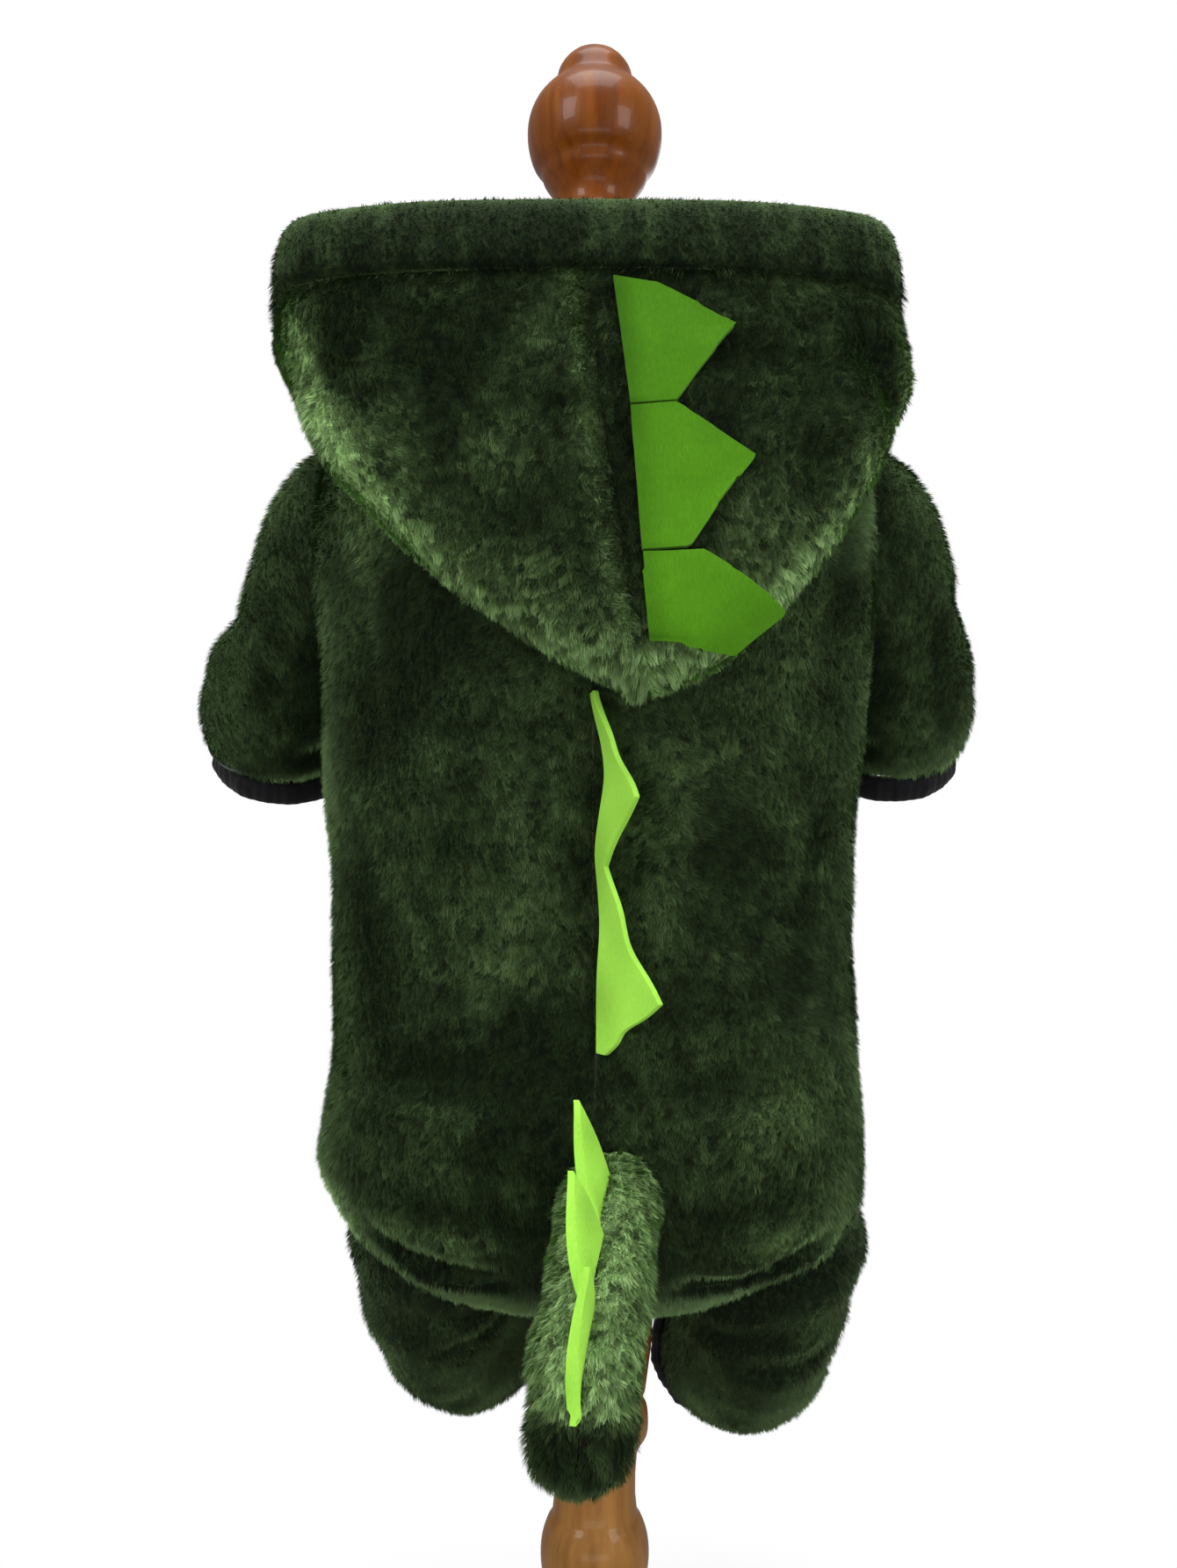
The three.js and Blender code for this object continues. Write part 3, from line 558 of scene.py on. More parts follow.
def cut(piece, meshes):
    """Cuts closed bodies out of a piece."""
    cutters = []
    for i, mesh in enumerate(meshes):
        cutters.append(put(f"cutter_{i}", mesh))
        modifier = piece.modifiers.new(f"cut_{i}", "BOOLEAN")
        modifier.operation = "DIFFERENCE"
        modifier.solver = "MANIFOLD"
        modifier.object = cutters[-1]
    shown = piece.evaluated_get(bpy.context.evaluated_depsgraph_get())
    mesh = bpy.data.meshes.new_from_object(shown)
    piece.modifiers.clear()
    old = piece.data
    piece.data = mesh
    mesh.name = piece.name
    bpy.data.meshes.remove(old)
    for cutter in cutters:
        bpy.data.meshes.remove(cutter.data)
    smooth(mesh, EDGE_ANGLE)


def grid_normals(grid, round_columns=False):
    """Normals of a grid of points, as d/du x d/dv."""
    if round_columns:
        along = np.roll(grid, -1, 1) - np.roll(grid, 1, 1)
    else:
        along = np.gradient(grid, axis=1)
    return unit(np.cross(along, np.gradient(grid, axis=0)))


def centre_of(grid):
    return grid.mean(1, keepdims=True)


def outward_side(grid, normals, middle):
    """1 where a grid's normals point away from its middle, -1 where they point in."""
    return np.sign(((grid - middle) * normals).sum(-1).mean())


# Pile: short leaning blades on a cloth's surface, joined into one mesh

def even(points):
    return np.ones(len(points))


CLUMP_SIZE = 2.8
CLUMP_SWAY = 1.5
CLUMP_TURN, BLADE_TURN = 0.22, 0.16
CLUMP_TILT, BLADE_TILT = 0.13, 0.1
BLADE_ROLL = 0.35
STEEPEST, FLATTEST = 0.1, 1.4
ROOT_DEPTH = 0.4


def scattered(grid, normals, round_columns, density, count, rng):
    """Points spread over a grid, with their normals."""
    triangles = halved(quads_of(*grid.shape[:2], round_columns))
    points, normal_list = grid.reshape(-1, 3), normals.reshape(-1, 3)
    a, b, c = (points[triangles[:, i]] for i in range(3))
    weight = np.linalg.norm(np.cross(b - a, c - a), axis=1)
    if density is not None:
        weight = weight * density.reshape(-1)[triangles].mean(1)
    ends = np.cumsum(weight)
    pick = np.searchsorted(ends, rng.uniform(0, ends[-1], count))
    pick = triangles[np.minimum(pick, len(triangles) - 1)]
    first = np.sqrt(rng.uniform(0, 1, count))
    second = rng.uniform(0, 1, count)
    shares = np.stack([1 - first, first * (1 - second), first * second], 1)[..., None]
    return (points[pick] * shares).sum(1), unit((normal_list[pick] * shares).sum(1))


def clumps_of(root, seed):
    """Each blade's clump, and how many blades each clump has."""
    cell = np.floor((root + CLUMP_SWAY * drift(root, 9, seed)) / CLUMP_SIZE)
    cell = cell.astype(np.int64) + 4096
    key = (cell[:, 0] << 26) + (cell[:, 1] << 13) + cell[:, 2]
    _, group, members = np.unique(key, return_inverse=True, return_counts=True)
    return group.reshape(-1), members


def blades(name, grid, material, count, seed, nap, shade, round_columns=False, side=1, keep=None,
           density=None, length=3.7, width=0.44, lean=57, extra=None, depth=even):
    """A mesh of count blades. nap gives the way that the pile lies; shade gives its brushed patches and
    the painted light and shade over them.
    """
    rng = np.random.default_rng(seed)
    normals = grid_normals(grid, round_columns) * side
    root, normal = scattered(grid, normals, round_columns, density, count, rng)
    if keep is not None:
        kept = keep(root)
        root, normal = root[kept], normal[kept]
        count = len(root)
    direction = nap(root, normal)
    direction = unit(direction - normal * np.sum(direction * normal, 1, keepdims=True))
    group, members = clumps_of(root, seed)
    groups = len(members)
    sway = np.cross(normal, direction)
    turn = rng.normal(0, CLUMP_TURN, groups)[group] + rng.normal(0, BLADE_TURN, count)
    direction = direction * np.cos(turn)[:, None] + sway * np.sin(turn)[:, None]
    clump_tilt = rng.normal(0, CLUMP_TILT, groups)[group]
    tilt = np.radians(lean) + clump_tilt + rng.normal(0, BLADE_TILT, count)
    reach = length * rng.uniform(0.75, 1.1, count) * rng.uniform(0.88, 1.08, groups)[group]
    if extra is not None:
        longer, upright = extra(root)
        reach = reach * longer
        tilt = tilt * upright
    tilt = np.clip(tilt, STEEPEST, FLATTEST)[:, None]
    way = normal * np.cos(tilt) + direction * np.sin(tilt)
    tip = root + way * reach[:, None]
    middle = np.stack([np.bincount(group, tip[:, i], groups) for i in range(3)], 1) / members[:, None]
    tip = tip + (middle[group] - tip) * rng.uniform(0.15, 0.4, count)[:, None]
    across = unit(np.cross(way, normal)) * (width / 2 * rng.uniform(0.7, 1.2, count))[:, None]
    roll = rng.normal(0, BLADE_ROLL, count)[:, None]
    across = across * np.cos(roll) + np.cross(way, across) * np.sin(roll)
    sink = normal * ROOT_DEPTH
    corners = np.stack([root - across - sink, root + across - sink, tip], 1)
    mesh = new_mesh(name, corners, np.arange(count * 3).reshape(-1, 3))
    shine = unit(normal + direction * 0.35)
    mesh.normals_split_custom_set_from_vertices(np.repeat(shine, 3, 0).astype(float))
    # Each clump's tone differs at random; depth darkens it where shade falls, as painted shade, and the
    # roots are kept darker than the tips, as painted shade deep in the pile.
    tone = (rng.uniform(0.08, 1.0, groups)[group] + rng.normal(0, 0.12, count)) * depth(root)
    tones = np.stack([tone * 0.25, tone * 0.25, tone + 0.2 * depth(root)], 1).ravel()
    # How much of the lit colour each clump takes: painted light and sheen, varied by clump.
    painted_light = shade(root) * rng.uniform(0.2, 2.0, groups)[group]
    attribute(mesh, "tone", tones)
    attribute(mesh, "nap", np.repeat(painted_light, 3))
    return add_pile(name, mesh, material)


def attribute(mesh, name, values):
    layer = mesh.attributes.new(name, "FLOAT", "POINT")
    layer.data.foreach_set("value", np.clip(values, 0, 1).astype(np.float32))


def paint(piece, shade):
    """Gives a backing cloth the same patches and painted light and shade as its pile."""
    points = np.empty(len(piece.data.vertices) * 3, np.float32)
    piece.data.vertices.foreach_get("co", points)
    attribute(piece.data, "nap", shade(points.reshape(-1, 3) / MM))


def patches(points, seed, base, large=0.045, small=0.03):
    """Soft patches of two sizes: brushed pile, which is real, painted as the lighter sheen it catches."""
    return base + large * waves(points, 42, seed) + small * waves(points, 13, seed + 1)


def light_and_shade_spots(points, rows):
    """Painted light (over 0) and painted shade (under 0) spots at x and z, on the back, where the brushed
    pile catches light or not.
    """
    total = np.zeros(len(points))
    for x, z, wide, high, amount in rows:
        total += amount * bell(points[:, 0], x, wide) * bell(points[:, 2], z, high)
    return total * smoothstep(-points[:, 1], 20, 50)


def add_pile(name, mesh, material):
    piece = put(name, mesh)
    mesh.materials.append(material)
    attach(piece, "root")
    return piece


# Materials

class Nodes:
    """Short calls for a material's nodes."""

    def __init__(self, name):
        self.material = bpy.data.materials.new(name)
        self.material.use_nodes = True
        self.tree = self.material.node_tree
        self.shader = self.tree.nodes["Principled BSDF"]

    def add(self, kind, **values):
        node = self.tree.nodes.new(kind)
        for key, value in values.items():
            if hasattr(node, key) and key not in node.inputs:
                setattr(node, key, value)
            else:
                node.inputs[key].default_value = value
        return node

    def link(self, source, target):
        self.tree.links.new(source, target)

    def place(self):
        return self.add("ShaderNodeTexCoord").outputs["Object"]

    def attribute(self, name):
        return self.add("ShaderNodeAttribute", attribute_name=name).outputs["Fac"]

    def noise(self, scale, detail=3.0, rough=0.5, stretch=None):
        place = self.place()
        if stretch:
            mapping = self.add("ShaderNodeMapping", Scale=stretch)
            self.link(place, mapping.inputs["Vector"])
            place = mapping.outputs["Vector"]
        noise = self.add("ShaderNodeTexNoise", Scale=scale, Detail=detail, Roughness=rough)
        self.link(place, noise.inputs["Vector"])
        return noise.outputs["Fac"]

    def ramp(self, source, stops):
        ramp = self.add("ShaderNodeValToRGB")
        elements = ramp.color_ramp.elements
        while len(elements) < len(stops):
            elements.new(0.5)
        for element, (position, colour) in zip(elements, stops):
            element.position = position
            element.color = (*colour, 1)
        self.link(source, ramp.inputs["Fac"])
        return ramp.outputs["Color"]

    def mix(self, factor, first, second, blend="MIX"):
        mix = self.add("ShaderNodeMix", data_type="RGBA", blend_type=blend)
        if isinstance(factor, (int, float)):
            mix.inputs[0].default_value = factor
        else:
            self.link(factor, mix.inputs[0])
        for socket, value in ((mix.inputs[6], first), (mix.inputs[7], second)):
            if isinstance(value, tuple):
                socket.default_value = (*value, 1)
            else:
                self.link(value, socket)
        return mix.outputs[2]

    def bump(self, source, strength, distance):
        bump = self.add("ShaderNodeBump", Strength=strength, Distance=distance)
        self.link(source, bump.inputs["Height"])
        self.link(bump.outputs["Normal"], self.shader.inputs["Normal"])

    def colour(self, source):
        self.link(source, self.shader.inputs["Base Color"])

    def set(self, **values):
        for key, value in values.items():
            name = key.replace("_", " ")
            self.shader.inputs[name].default_value = value


# The pile's own colour, from root to tip by the tone attribute; the darker roots are painted shade deep in
# the pile.
PILE_TONES = [
    (0.0, (0.001, 0.0024, 0.0006)),
    (0.45, (0.0066, 0.0148, 0.0034)),
    (1.0, (0.023, 0.048, 0.0115)),
]
# The pile where light falls on it, mixed in by the nap attribute: painted light and sheen, on brushed
# patches, fold rims and tops.
PAINTED_LIGHT_TONES = [
    (0.0, (0.06, 0.105, 0.034)),
    (0.45, (0.30, 0.52, 0.165)),
    (1.0, (0.66, 0.98, 0.42)),
]
VARNISH_TONES = ((0.085, 0.018, 0.001), (0.165, 0.043, 0.001), (0.27, 0.085, 0.002))
POST_TONES = ((0.19, 0.078, 0.015), (0.255, 0.115, 0.024), (0.33, 0.155, 0.038))


def plush_material(name, pile, sheen=0.6):
    n = Nodes(name)
    tone = n.attribute("tone") if pile else n.noise(900, 2, 0.6)
    # The nap attribute mixes the painted light colour into the pile's own colour.
    tint = n.mix(n.attribute("nap"), n.ramp(tone, PILE_TONES), n.ramp(tone, PAINTED_LIGHT_TONES))
    fine = n.ramp(n.noise(150, 3, 0.6), [(0.3, (0.5, 0.5, 0.5)), (0.7, (1, 1, 1))])
    n.colour(n.mix(1.0, tint, fine, "MULTIPLY"))
    n.set(Roughness=0.85, Specular_IOR_Level=0.12)
    n.set(Sheen_Weight=sheen, Sheen_Roughness=0.35, Sheen_Tint=(0.40, 0.66, 0.25, 1))
    if not pile:
        n.bump(n.noise(1500, 2, 0.6), 0.6, 0.0008)
    return n.material


def lining_material():
    n = Nodes("plush_lining")
    knit = n.add("ShaderNodeTexWave", Scale=420.0, Distortion=2.5, Detail=2.0)
    n.link(n.place(), knit.inputs["Vector"])
    n.colour(n.mix(n.noise(60, 3, 0.5), (0.008, 0.020, 0.008), (0.020, 0.042, 0.016)))
    n.set(Roughness=0.95, Specular_IOR_Level=0.1, Sheen_Weight=0.3, Sheen_Roughness=0.5)
    n.bump(knit.outputs["Fac"], 0.4, 0.0004)
    return n.material


def felt_material(name, base, light):
    n = Nodes(name)
    fibres = n.noise(1400, 4, 0.7, (1, 1, 0.35))
    lumps = n.noise(90, 3, 0.55)
    tint = n.mix(lumps, base, light)
    colour = n.mix(fibres, tint, tuple(0.72 * c for c in base))
    # Darker where the nap attribute is low: painted shade beside the hood's seam on its felt, random
    # mottle on the strips.
    shade_and_mottle = n.ramp(n.attribute("nap"), [(0.0, (0.35, 0.42, 0.3)), (1.0, (1, 1, 1))])
    n.colour(n.mix(1.0, colour, shade_and_mottle, "MULTIPLY"))
    n.set(Roughness=0.95, Specular_IOR_Level=0.06, Sheen_Weight=0.12, Sheen_Roughness=0.6)
    n.set(Sheen_Tint=(0.6, 1.0, 0.25, 1))
    n.bump(fibres, 0.5, 0.0004)
    return n.material


def binding_material():
    n = Nodes("black_binding")
    weave = n.noise(1600, 3, 0.6, (1, 1, 2))
    n.colour(n.ramp(weave, [(0.3, (0.003, 0.003, 0.004)), (0.75, (0.014, 0.014, 0.016))]))
    n.set(Roughness=0.95, Specular_IOR_Level=0.08, Sheen_Weight=0.08, Sheen_Roughness=0.5)
    n.bump(weave, 0.4, 0.0003)
    return n.material


def cover_material():
    n = Nodes("linen_cover")
    upright, level = (n.noise(2600.0, 2.0, 0.5, way) for way in ((1, 1, 0.04), (0.04, 0.04, 1)))
    weave = n.mix(0.5, upright, level)
    n.colour(n.ramp(weave, [(0.35, (0.50, 0.43, 0.32)), (0.62, (0.74, 0.68, 0.56))]))
    n.set(Roughness=0.9, Specular_IOR_Level=0.2, Sheen_Weight=0.2)
    n.bump(weave, 0.5, 0.0004)
    return n.material


def wood_material(name, tones, rough, coat):
    n = Nodes(name)
    grain = n.noise(38, 5, 0.6, (1, 1, 0.09))
    lines = n.noise(260, 3, 0.6, (1, 1, 0.05))
    rings = n.ramp(grain, list(zip((0.28, 0.5, 0.75), tones)))
    fine = n.ramp(lines, [(0.3, (0.72, 0.66, 0.6)), (0.62, (1, 1, 1))])
    n.colour(n.mix(1.0, rings, fine, "MULTIPLY"))
    roughness = n.ramp(lines, [(0.2, (rough,) * 3), (0.9, (rough + 0.1,) * 3)])
    n.link(roughness, n.shader.inputs["Roughness"])
    n.set(Specular_IOR_Level=0.15, Coat_Weight=coat, Coat_Roughness=0.06)
    n.bump(lines, 0.12, 0.0004)
    return n.material


pile_material = plush_material("plush_pile", True)
# A copy with less sheen, for the legs and the casing: painted shade.
shaded_pile_material = plush_material("plush_pile_in_shade", True, 0.22)
backing_material = plush_material("plush_backing", False)
lining = lining_material()
hood_felt = felt_material("lime_felt", (0.052, 0.18, 0.0045), (0.10, 0.31, 0.010))
strip_felt = felt_material("bright_lime_felt", (0.36, 0.80, 0.07), (0.47, 0.88, 0.12))
black_binding = binding_material()
linen = cover_material()
varnish = wood_material("varnished_wood", VARNISH_TONES, 0.35, 0.12)
post_wood = wood_material("post_wood", POST_TONES, 0.45, 0.15)


# Trunk

def place_piece(piece, node):
    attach(piece, "root")
    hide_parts(node)
    return piece


def edge_dip(count, reach, depth):
    """How much a panel's edges roll in at its seams, by column."""
    at = np.arange(count)
    return depth * (bell(at, 0, reach) + bell(at, count - 1, reach))


def tube_frames(rows, places):
    row = row_at(rows, places)
    middle = np.stack([row["x"], row["y"], row["z"]], -1)
    ahead = row_at(rows, places + STEP)
    behind = row_at(rows, places - STEP)
    along = unit(np.stack([ahead[k] - behind[k] for k in "xyz"], -1))
    across = unit(np.array([1.0, 0, 0]) - along * along[..., :1])
    return row, middle, along, across, np.cross(along, across)


def tube_rings(rows, places, turns, shrink):
    row, middle, _, across, over = tube_frames(rows, places)
    wide = (row["wide"] - shrink)[:, None, None]
    deep = (row["deep"] - shrink)[:, None, None]
    return (
        middle[:, None]
        + across[:, None] * wide * np.cos(turns)[None, :, None]
        + over[:, None] * deep * np.sin(turns)[None, :, None]
    )


def inside_tube(rows, points):
    """Whether each point lies within a sleeve or leg."""
    row, middle, _, across, over = tube_frames(rows, np.linspace(0, 1, 48))
    gap = points[:, None] - middle[None]
    nearest = (gap ** 2).sum(-1).argmin(1)
    gap = gap[np.arange(len(points)), nearest]
    x = (gap * across[nearest]).sum(1) / (row["wide"][nearest] - TUBE_INSET)
    y = (gap * over[nearest]).sum(1) / (row["deep"][nearest] - TUBE_INSET)
    return x * x + y * y < 1


SLEEVES = {-1: LEFT_SLEEVE, 1: RIGHT_SLEEVE}
LEGS = {-1: LEFT_LEG, 1: RIGHT_LEG}


SIDES = (("left", -1), ("right", 1))
TUBE_INSET = 2
# How far the trunk's cloth reaches in under the sleeves and legs
UNDERLAP = 3.5


def trunk_body(out):
    u, v = np.meshgrid(round_turns(96), np.linspace(0, 1, 60))
    return moved_out(trunk_point, u, v, out)


def cut_by_trunk(piece):
    """Ends a sleeve, leg or tail just inside the trunk's cloth."""
    cut(piece, [loft_mesh("hole", trunk_body(-PILE + 0.4))])


def down_nap(seed, pull=(0, 0, -1), swirl=0.55):
    def nap(points, normals):
        return np.array(pull, float) + swirl * drift(points, 60, seed)
    return nap


# Painted light (amount over 0) and painted shade (amount under 0) spots of the back, where the brushed
# pile catches light or not: x, z, wide, high, amount
BACK_LIGHT_AND_SHADE = [
    (-86, 505, 8, 45, 0.17), (-74, 470, 8, 30, -0.06), (70, 470, 18, 35, 0.07), (96, 480, 8, 40, -0.05),
    (-30, 400, 22, 30, 0.04), (21, 369, 10, 12, 0.13), (40, 388, 14, 14, -0.07), (66, 400, 14, 30, 0.05),
    (75, 310, 12, 12, 0.14), (47, 306, 14, 12, -0.06), (-64, 308, 20, 12, -0.06), (-88, 350, 9, 50, -0.04),
    (-30, 300, 18, 10, -0.05), (-60, 276, 20, 9, 0.04), (92, 275, 10, 12, 0.07), (30, 262, 24, 9, -0.05),
]


def trunk_shade(points):
    # Brushed patches with painted light and shade: lighter on crease ridges, darker in troughs, painted
    # spots, painted shade under the rump, and a darker line along the back seam.
    creases = 0.03 * relief(points, TRUNK_CREASES)
    value = patches(points, 33, 0.05) + 0.75 * light_and_shade_spots(points, BACK_LIGHT_AND_SHADE) + creases
    value *= smoothstep(points[:, 2], 240, 262)
    return value - 0.07 * bell(points[:, 0], 0, 2.2) * (points[:, 1] < -20)


def trunk_panel(name, sign, first, last, count, seed):
    columns = 36
    turns = np.linspace(sign * (first + SEAM_TURN), sign * (last - SEAM_TURN), columns)
    u, v = np.meshgrid(turns, np.linspace(0, 1, 76))
    base = trunk_point(u, v)
    lift = relief(base, TRUNK_CREASES) + 0.8 * waves(base, 34, 5)
    lift -= edge_dip(columns, 1.3, 1.3)[None]
    outer = moved_out(trunk_point, u, v, -PILE + lift)
    inner = moved_out(trunk_point, u, v, -PLUSH_WALL + lift)
    piece = add_object(name, wall_mesh(name, outer, inner, False), backing_material, lining)
    sleeve, leg = SLEEVES[sign], LEGS[sign]
    places, around = np.linspace(0, 1, 20), round_turns(40)
    cut(piece, [
        loft_mesh("hole", tube_rings(rows, places, around, PLUSH_WALL + UNDERLAP))
        for rows in (sleeve, leg)
    ])
    paint(piece, trunk_shade)
    place_piece(piece, name)
    density = np.ones(outer.shape[:2])
    if first == 0:
        # The back under the hood is hardly seen
        hidden = outer[..., 2] > hood_line(outer[..., 0]) + 14
        density = np.where(hidden, 0.12, 1.0)

    def keep(points):
        return ~(inside_tube(sleeve, points) | inside_tube(leg, points))

    def depth(points):
        # Painted shade under the rump
        return 1 - 0.7 * (1 - smoothstep(points[:, 2], 244, 262))

    width = 0.44 if first == 0 else 0.62
    fur = blades(f"pile_{name}", outer, pile_material, count, seed, down_nap(seed), trunk_shade,
                 side=sign, keep=keep, density=density, width=width, depth=depth)


def hood_line(x):
    """Height of the hood's lower edge over the back at x."""
    return np.interp(np.abs(np.asarray(x) - 8), HOOD["x"][:8], HOOD["z"][:8])


for side_name, sign in SIDES:
    trunk_panel(f"back_{side_name}", sign, 0, SIDE_SEAM_TURN, 112000, 20 + sign)
    trunk_panel(f"belly_{side_name}", sign, SIDE_SEAM_TURN, math.pi, 52000, 40 + sign)


# Sleeves and legs

def tube_point(rows, turn, place):
    row, middle, _, across, over = tube_frames(rows, np.array([place]))
    turn = math.radians(turn)
    return (
        middle[0]
        + across[0] * row["wide"][0] * math.cos(turn)
        + over[0] * row["deep"][0] * math.sin(turn)
    )


def tube_piece(name, node_rows, creases, count, seed, places, base, depth, swell):
    grid = tube_rings(node_rows, places, round_turns(56), 0)
    normals = grid_normals(grid, True)
    out = outward_side(grid, normals, centre_of(grid))
    normals = normals * out
    lines = [
        ([tube_point(node_rows, turn, place) for turn, place in line], width, height)
        for line, width, height in creases
    ]
    lift = relief(grid, lines) + 0.6 * waves(grid, 26, seed)
    away = np.clip(normals[..., 0] * np.sign(node_rows["x"][0]), 0, 1)
    raised = away * smoothstep(normals[..., 2], -0.3, 0.4)
    lift += swell * raised * bell(places, 0.12, 0.16)[:, None]
    outer = grid + normals * (lift - PILE)[..., None]
    inner = grid + normals * (lift - PLUSH_WALL)[..., None]
    piece = add_object(name, wall_mesh(name, outer, inner, True), backing_material, lining)
    cut_by_trunk(piece)

    def shade(points):
        # Brushed patches, lighter on crease ridges and darker in troughs: painted light and shade.
        return patches(points, seed, base) + 0.025 * relief(points, lines)

    paint(piece, shade)
    place_piece(piece, name)
    # Darker pile also takes the copy with less sheen: painted shade.
    pile = pile_material if depth > 0.9 else shaded_pile_material
    fur = blades(f"pile_{name}", outer, pile, count, seed, down_nap(seed, (0, 0.1, -1)), shade,
                 round_columns=True, side=out, keep=outside_trunk,
                 depth=lambda points: even(points) * depth)


SLEEVE_CREASES = {
    -1: [
        ([(150, 0.35), (180, 0.5), (215, 0.6)], 7, -3.0),
        ([(160, 0.62), (190, 0.72), (225, 0.78)], 6, -2.4),
        ([(250, 0.3), (270, 0.42), (300, 0.48)], 7, -2.4),
        ([(60, 0.4), (90, 0.52), (120, 0.5)], 7, -2.4),
        ([(20, 0.6), (50, 0.72), (85, 0.76)], 6, -2.2),
        ([(300, 0.66), (330, 0.74), (360, 0.72)], 6, 2.0),
    ],
    1: [
        ([(35, 0.32), (0, 0.46), (-35, 0.55)], 7, -3.0),
        ([(20, 0.62), (-10, 0.7), (-45, 0.78)], 6, -2.2),
        ([(290, 0.3), (270, 0.44), (240, 0.5)], 7, -2.6),
        ([(120, 0.38), (90, 0.5), (60, 0.52)], 7, -2.4),
        ([(160, 0.6), (130, 0.72), (95, 0.74)], 6, -2.2),
        ([(240, 0.68), (210, 0.75), (180, 0.72)], 6, 2.0),
    ],
}
LEG_CREASES = {
    -1: [
        ([(190, 0.3), (240, 0.33), (300, 0.3), (350, 0.28)], 4, -2.6),
        ([(200, 0.52), (250, 0.56), (310, 0.53)], 4, -2.8),
        ([(215, 0.7), (255, 0.73), (300, 0.7)], 4, -2.0),
        ([(20, 0.4), (60, 0.46), (110, 0.42)], 5, -2.4),
        ([(60, 0.66), (100, 0.7), (140, 0.66)], 5, -2.0),
    ],
    1: [
        ([(190, 0.28), (240, 0.31), (300, 0.34), (350, 0.3)], 4, -2.6),
        ([(230, 0.5), (290, 0.55), (340, 0.52)], 4, -2.8),
        ([(240, 0.7), (285, 0.74), (325, 0.7)], 4, -2.0),
        ([(30, 0.42), (70, 0.46), (120, 0.44)], 5, -2.4),
        ([(50, 0.68), (90, 0.7), (130, 0.66)], 5, -2.0),
    ],
}


def cuff_rows(rows):
    end = np.array([rows[k][-1] for k in "xyz"])
    before = np.array([rows[k][-2] for k in "xyz"])
    along = unit(end - before)
    made = {k: [] for k in ("x", "y", "z", "wide", "deep")}
    for place, grow in ((SEAM_GAP, -0.5), (CUFF_LENGTH * 0.5, 0.4), (CUFF_LENGTH, -0.6)):
        for key, value in zip("xyz", end + along * place):
            made[key].append(value)
        made["wide"].append(rows["wide"][-1] + grow)
        made["deep"].append(rows["deep"][-1] + grow)
    return {k: np.array(v) for k, v in made.items()}


def cuff_piece(name, rows, seed):
    """Gathered elastic binding with fine ribs, rolled at both edges."""
    turns = round_turns(180)
    places = np.linspace(0, 1, 8)
    rounding = 0.9 * np.clip(2 * places - 1, 0, 1)[:, None] ** 4
    fading = 1 - 0.6 * np.abs(2 * places - 1)[:, None]
    ribs = 0.28 * np.cos(turns * 45) + 0.45 * np.sin(turns * 9 + seed)
    ribs = (ribs + 0.3 * np.sin(turns * 17 + 2 * seed))[None]
    outer = tube_rings(cuff_rows(rows), places, turns, 0)
    away = unit(outer - centre_of(outer))
    outer = outer + away * (ribs * fading - rounding)[..., None]
    inner = tube_rings(cuff_rows(rows), places, turns, CUFF_WALL)
    inner = inner + away * (rounding + ribs * 0.3)[..., None]
    # The upper edge is tucked in under the pile
    tuck = outer[0].mean(0) - outer[1].mean(0)
    outer[0] += tuck
    inner[0] += tuck
    piece = add_object(name, wall_mesh(name, outer, inner, True), black_binding, black_binding)
    place_piece(piece, name)


for side_name, sign in SIDES:
    tube_piece(f"sleeve_{side_name}", SLEEVES[sign], SLEEVE_CREASES[sign], count=44000, seed=60 + sign,
               places=np.linspace(0, 1, 36), base=0.03, depth=0.95, swell=4.5 + sign)
    # The legs, under the rump, get darker pile and no lit patches: painted shade.
    tube_piece(f"leg_{side_name}", LEGS[sign], LEG_CREASES[sign], count=36000, seed=70 + sign,
               places=np.linspace(0, 1, 40), base=0.0, depth=0.42, swell=0)
    cuff_piece(f"sleeve_cuff_{side_name}", SLEEVES[sign], 3 + sign)
    cuff_piece(f"leg_cuff_{side_name}", LEGS[sign], 6 + sign)


# Hood

def hood_skew(z):
    return np.interp(z, HOOD_SKEW_Z, HOOD_SKEW_X)


def resting_point(turn, place):
    return moved_out(trunk_point, np.asarray(turn, float), np.asarray(place, float), HOOD_LIFT)


def hood_meridian(column, places):
    row = {k: float(v) for k, v in row_at(HOOD, np.float64(column)).items()}
    turn = math.radians(row["turn"])
    resting = [resting_point(turn, place) for place in (1, 0.96, 0.92)]
    drop = CASING_SEAM_DROP * float(smoothstep(row["turn"], 108, 180))
    seam = np.array([row["edge_x"], row["edge_y"], CASING_SEAM_Z - drop])
    fold = np.array([row["x"], row["y"], row["z"]])
    away = unit(np.array([seam[0], seam[1], 0]))
    half = row["roll"] / 2
    up = np.array([0, 0, 1.0])
    body_side = fold - away * half + up * half * row["rise"]
    far_side = fold + away * half + up * half
    hanging = []
    for part in (0.25, 0.5, 0.75):
        point = resting[2] + (body_side - resting[2]) * part
        on = resting_point(turn, float(trunk_place_at(point[2])))
        on[2] = point[2]
        hanging.append(on if on @ away > point @ away else point)
    outer_mid = (far_side + seam) / 2 + away * row["puff"]
    points = [*resting, *hanging, body_side, fold, far_side, outer_mid, seam]
    return curve_through(points, places)


def hood_lines(columns, places):
    """The hood's lines at columns, side by side."""
    return np.stack([hood_meridian(c, places) for c in columns], 1)


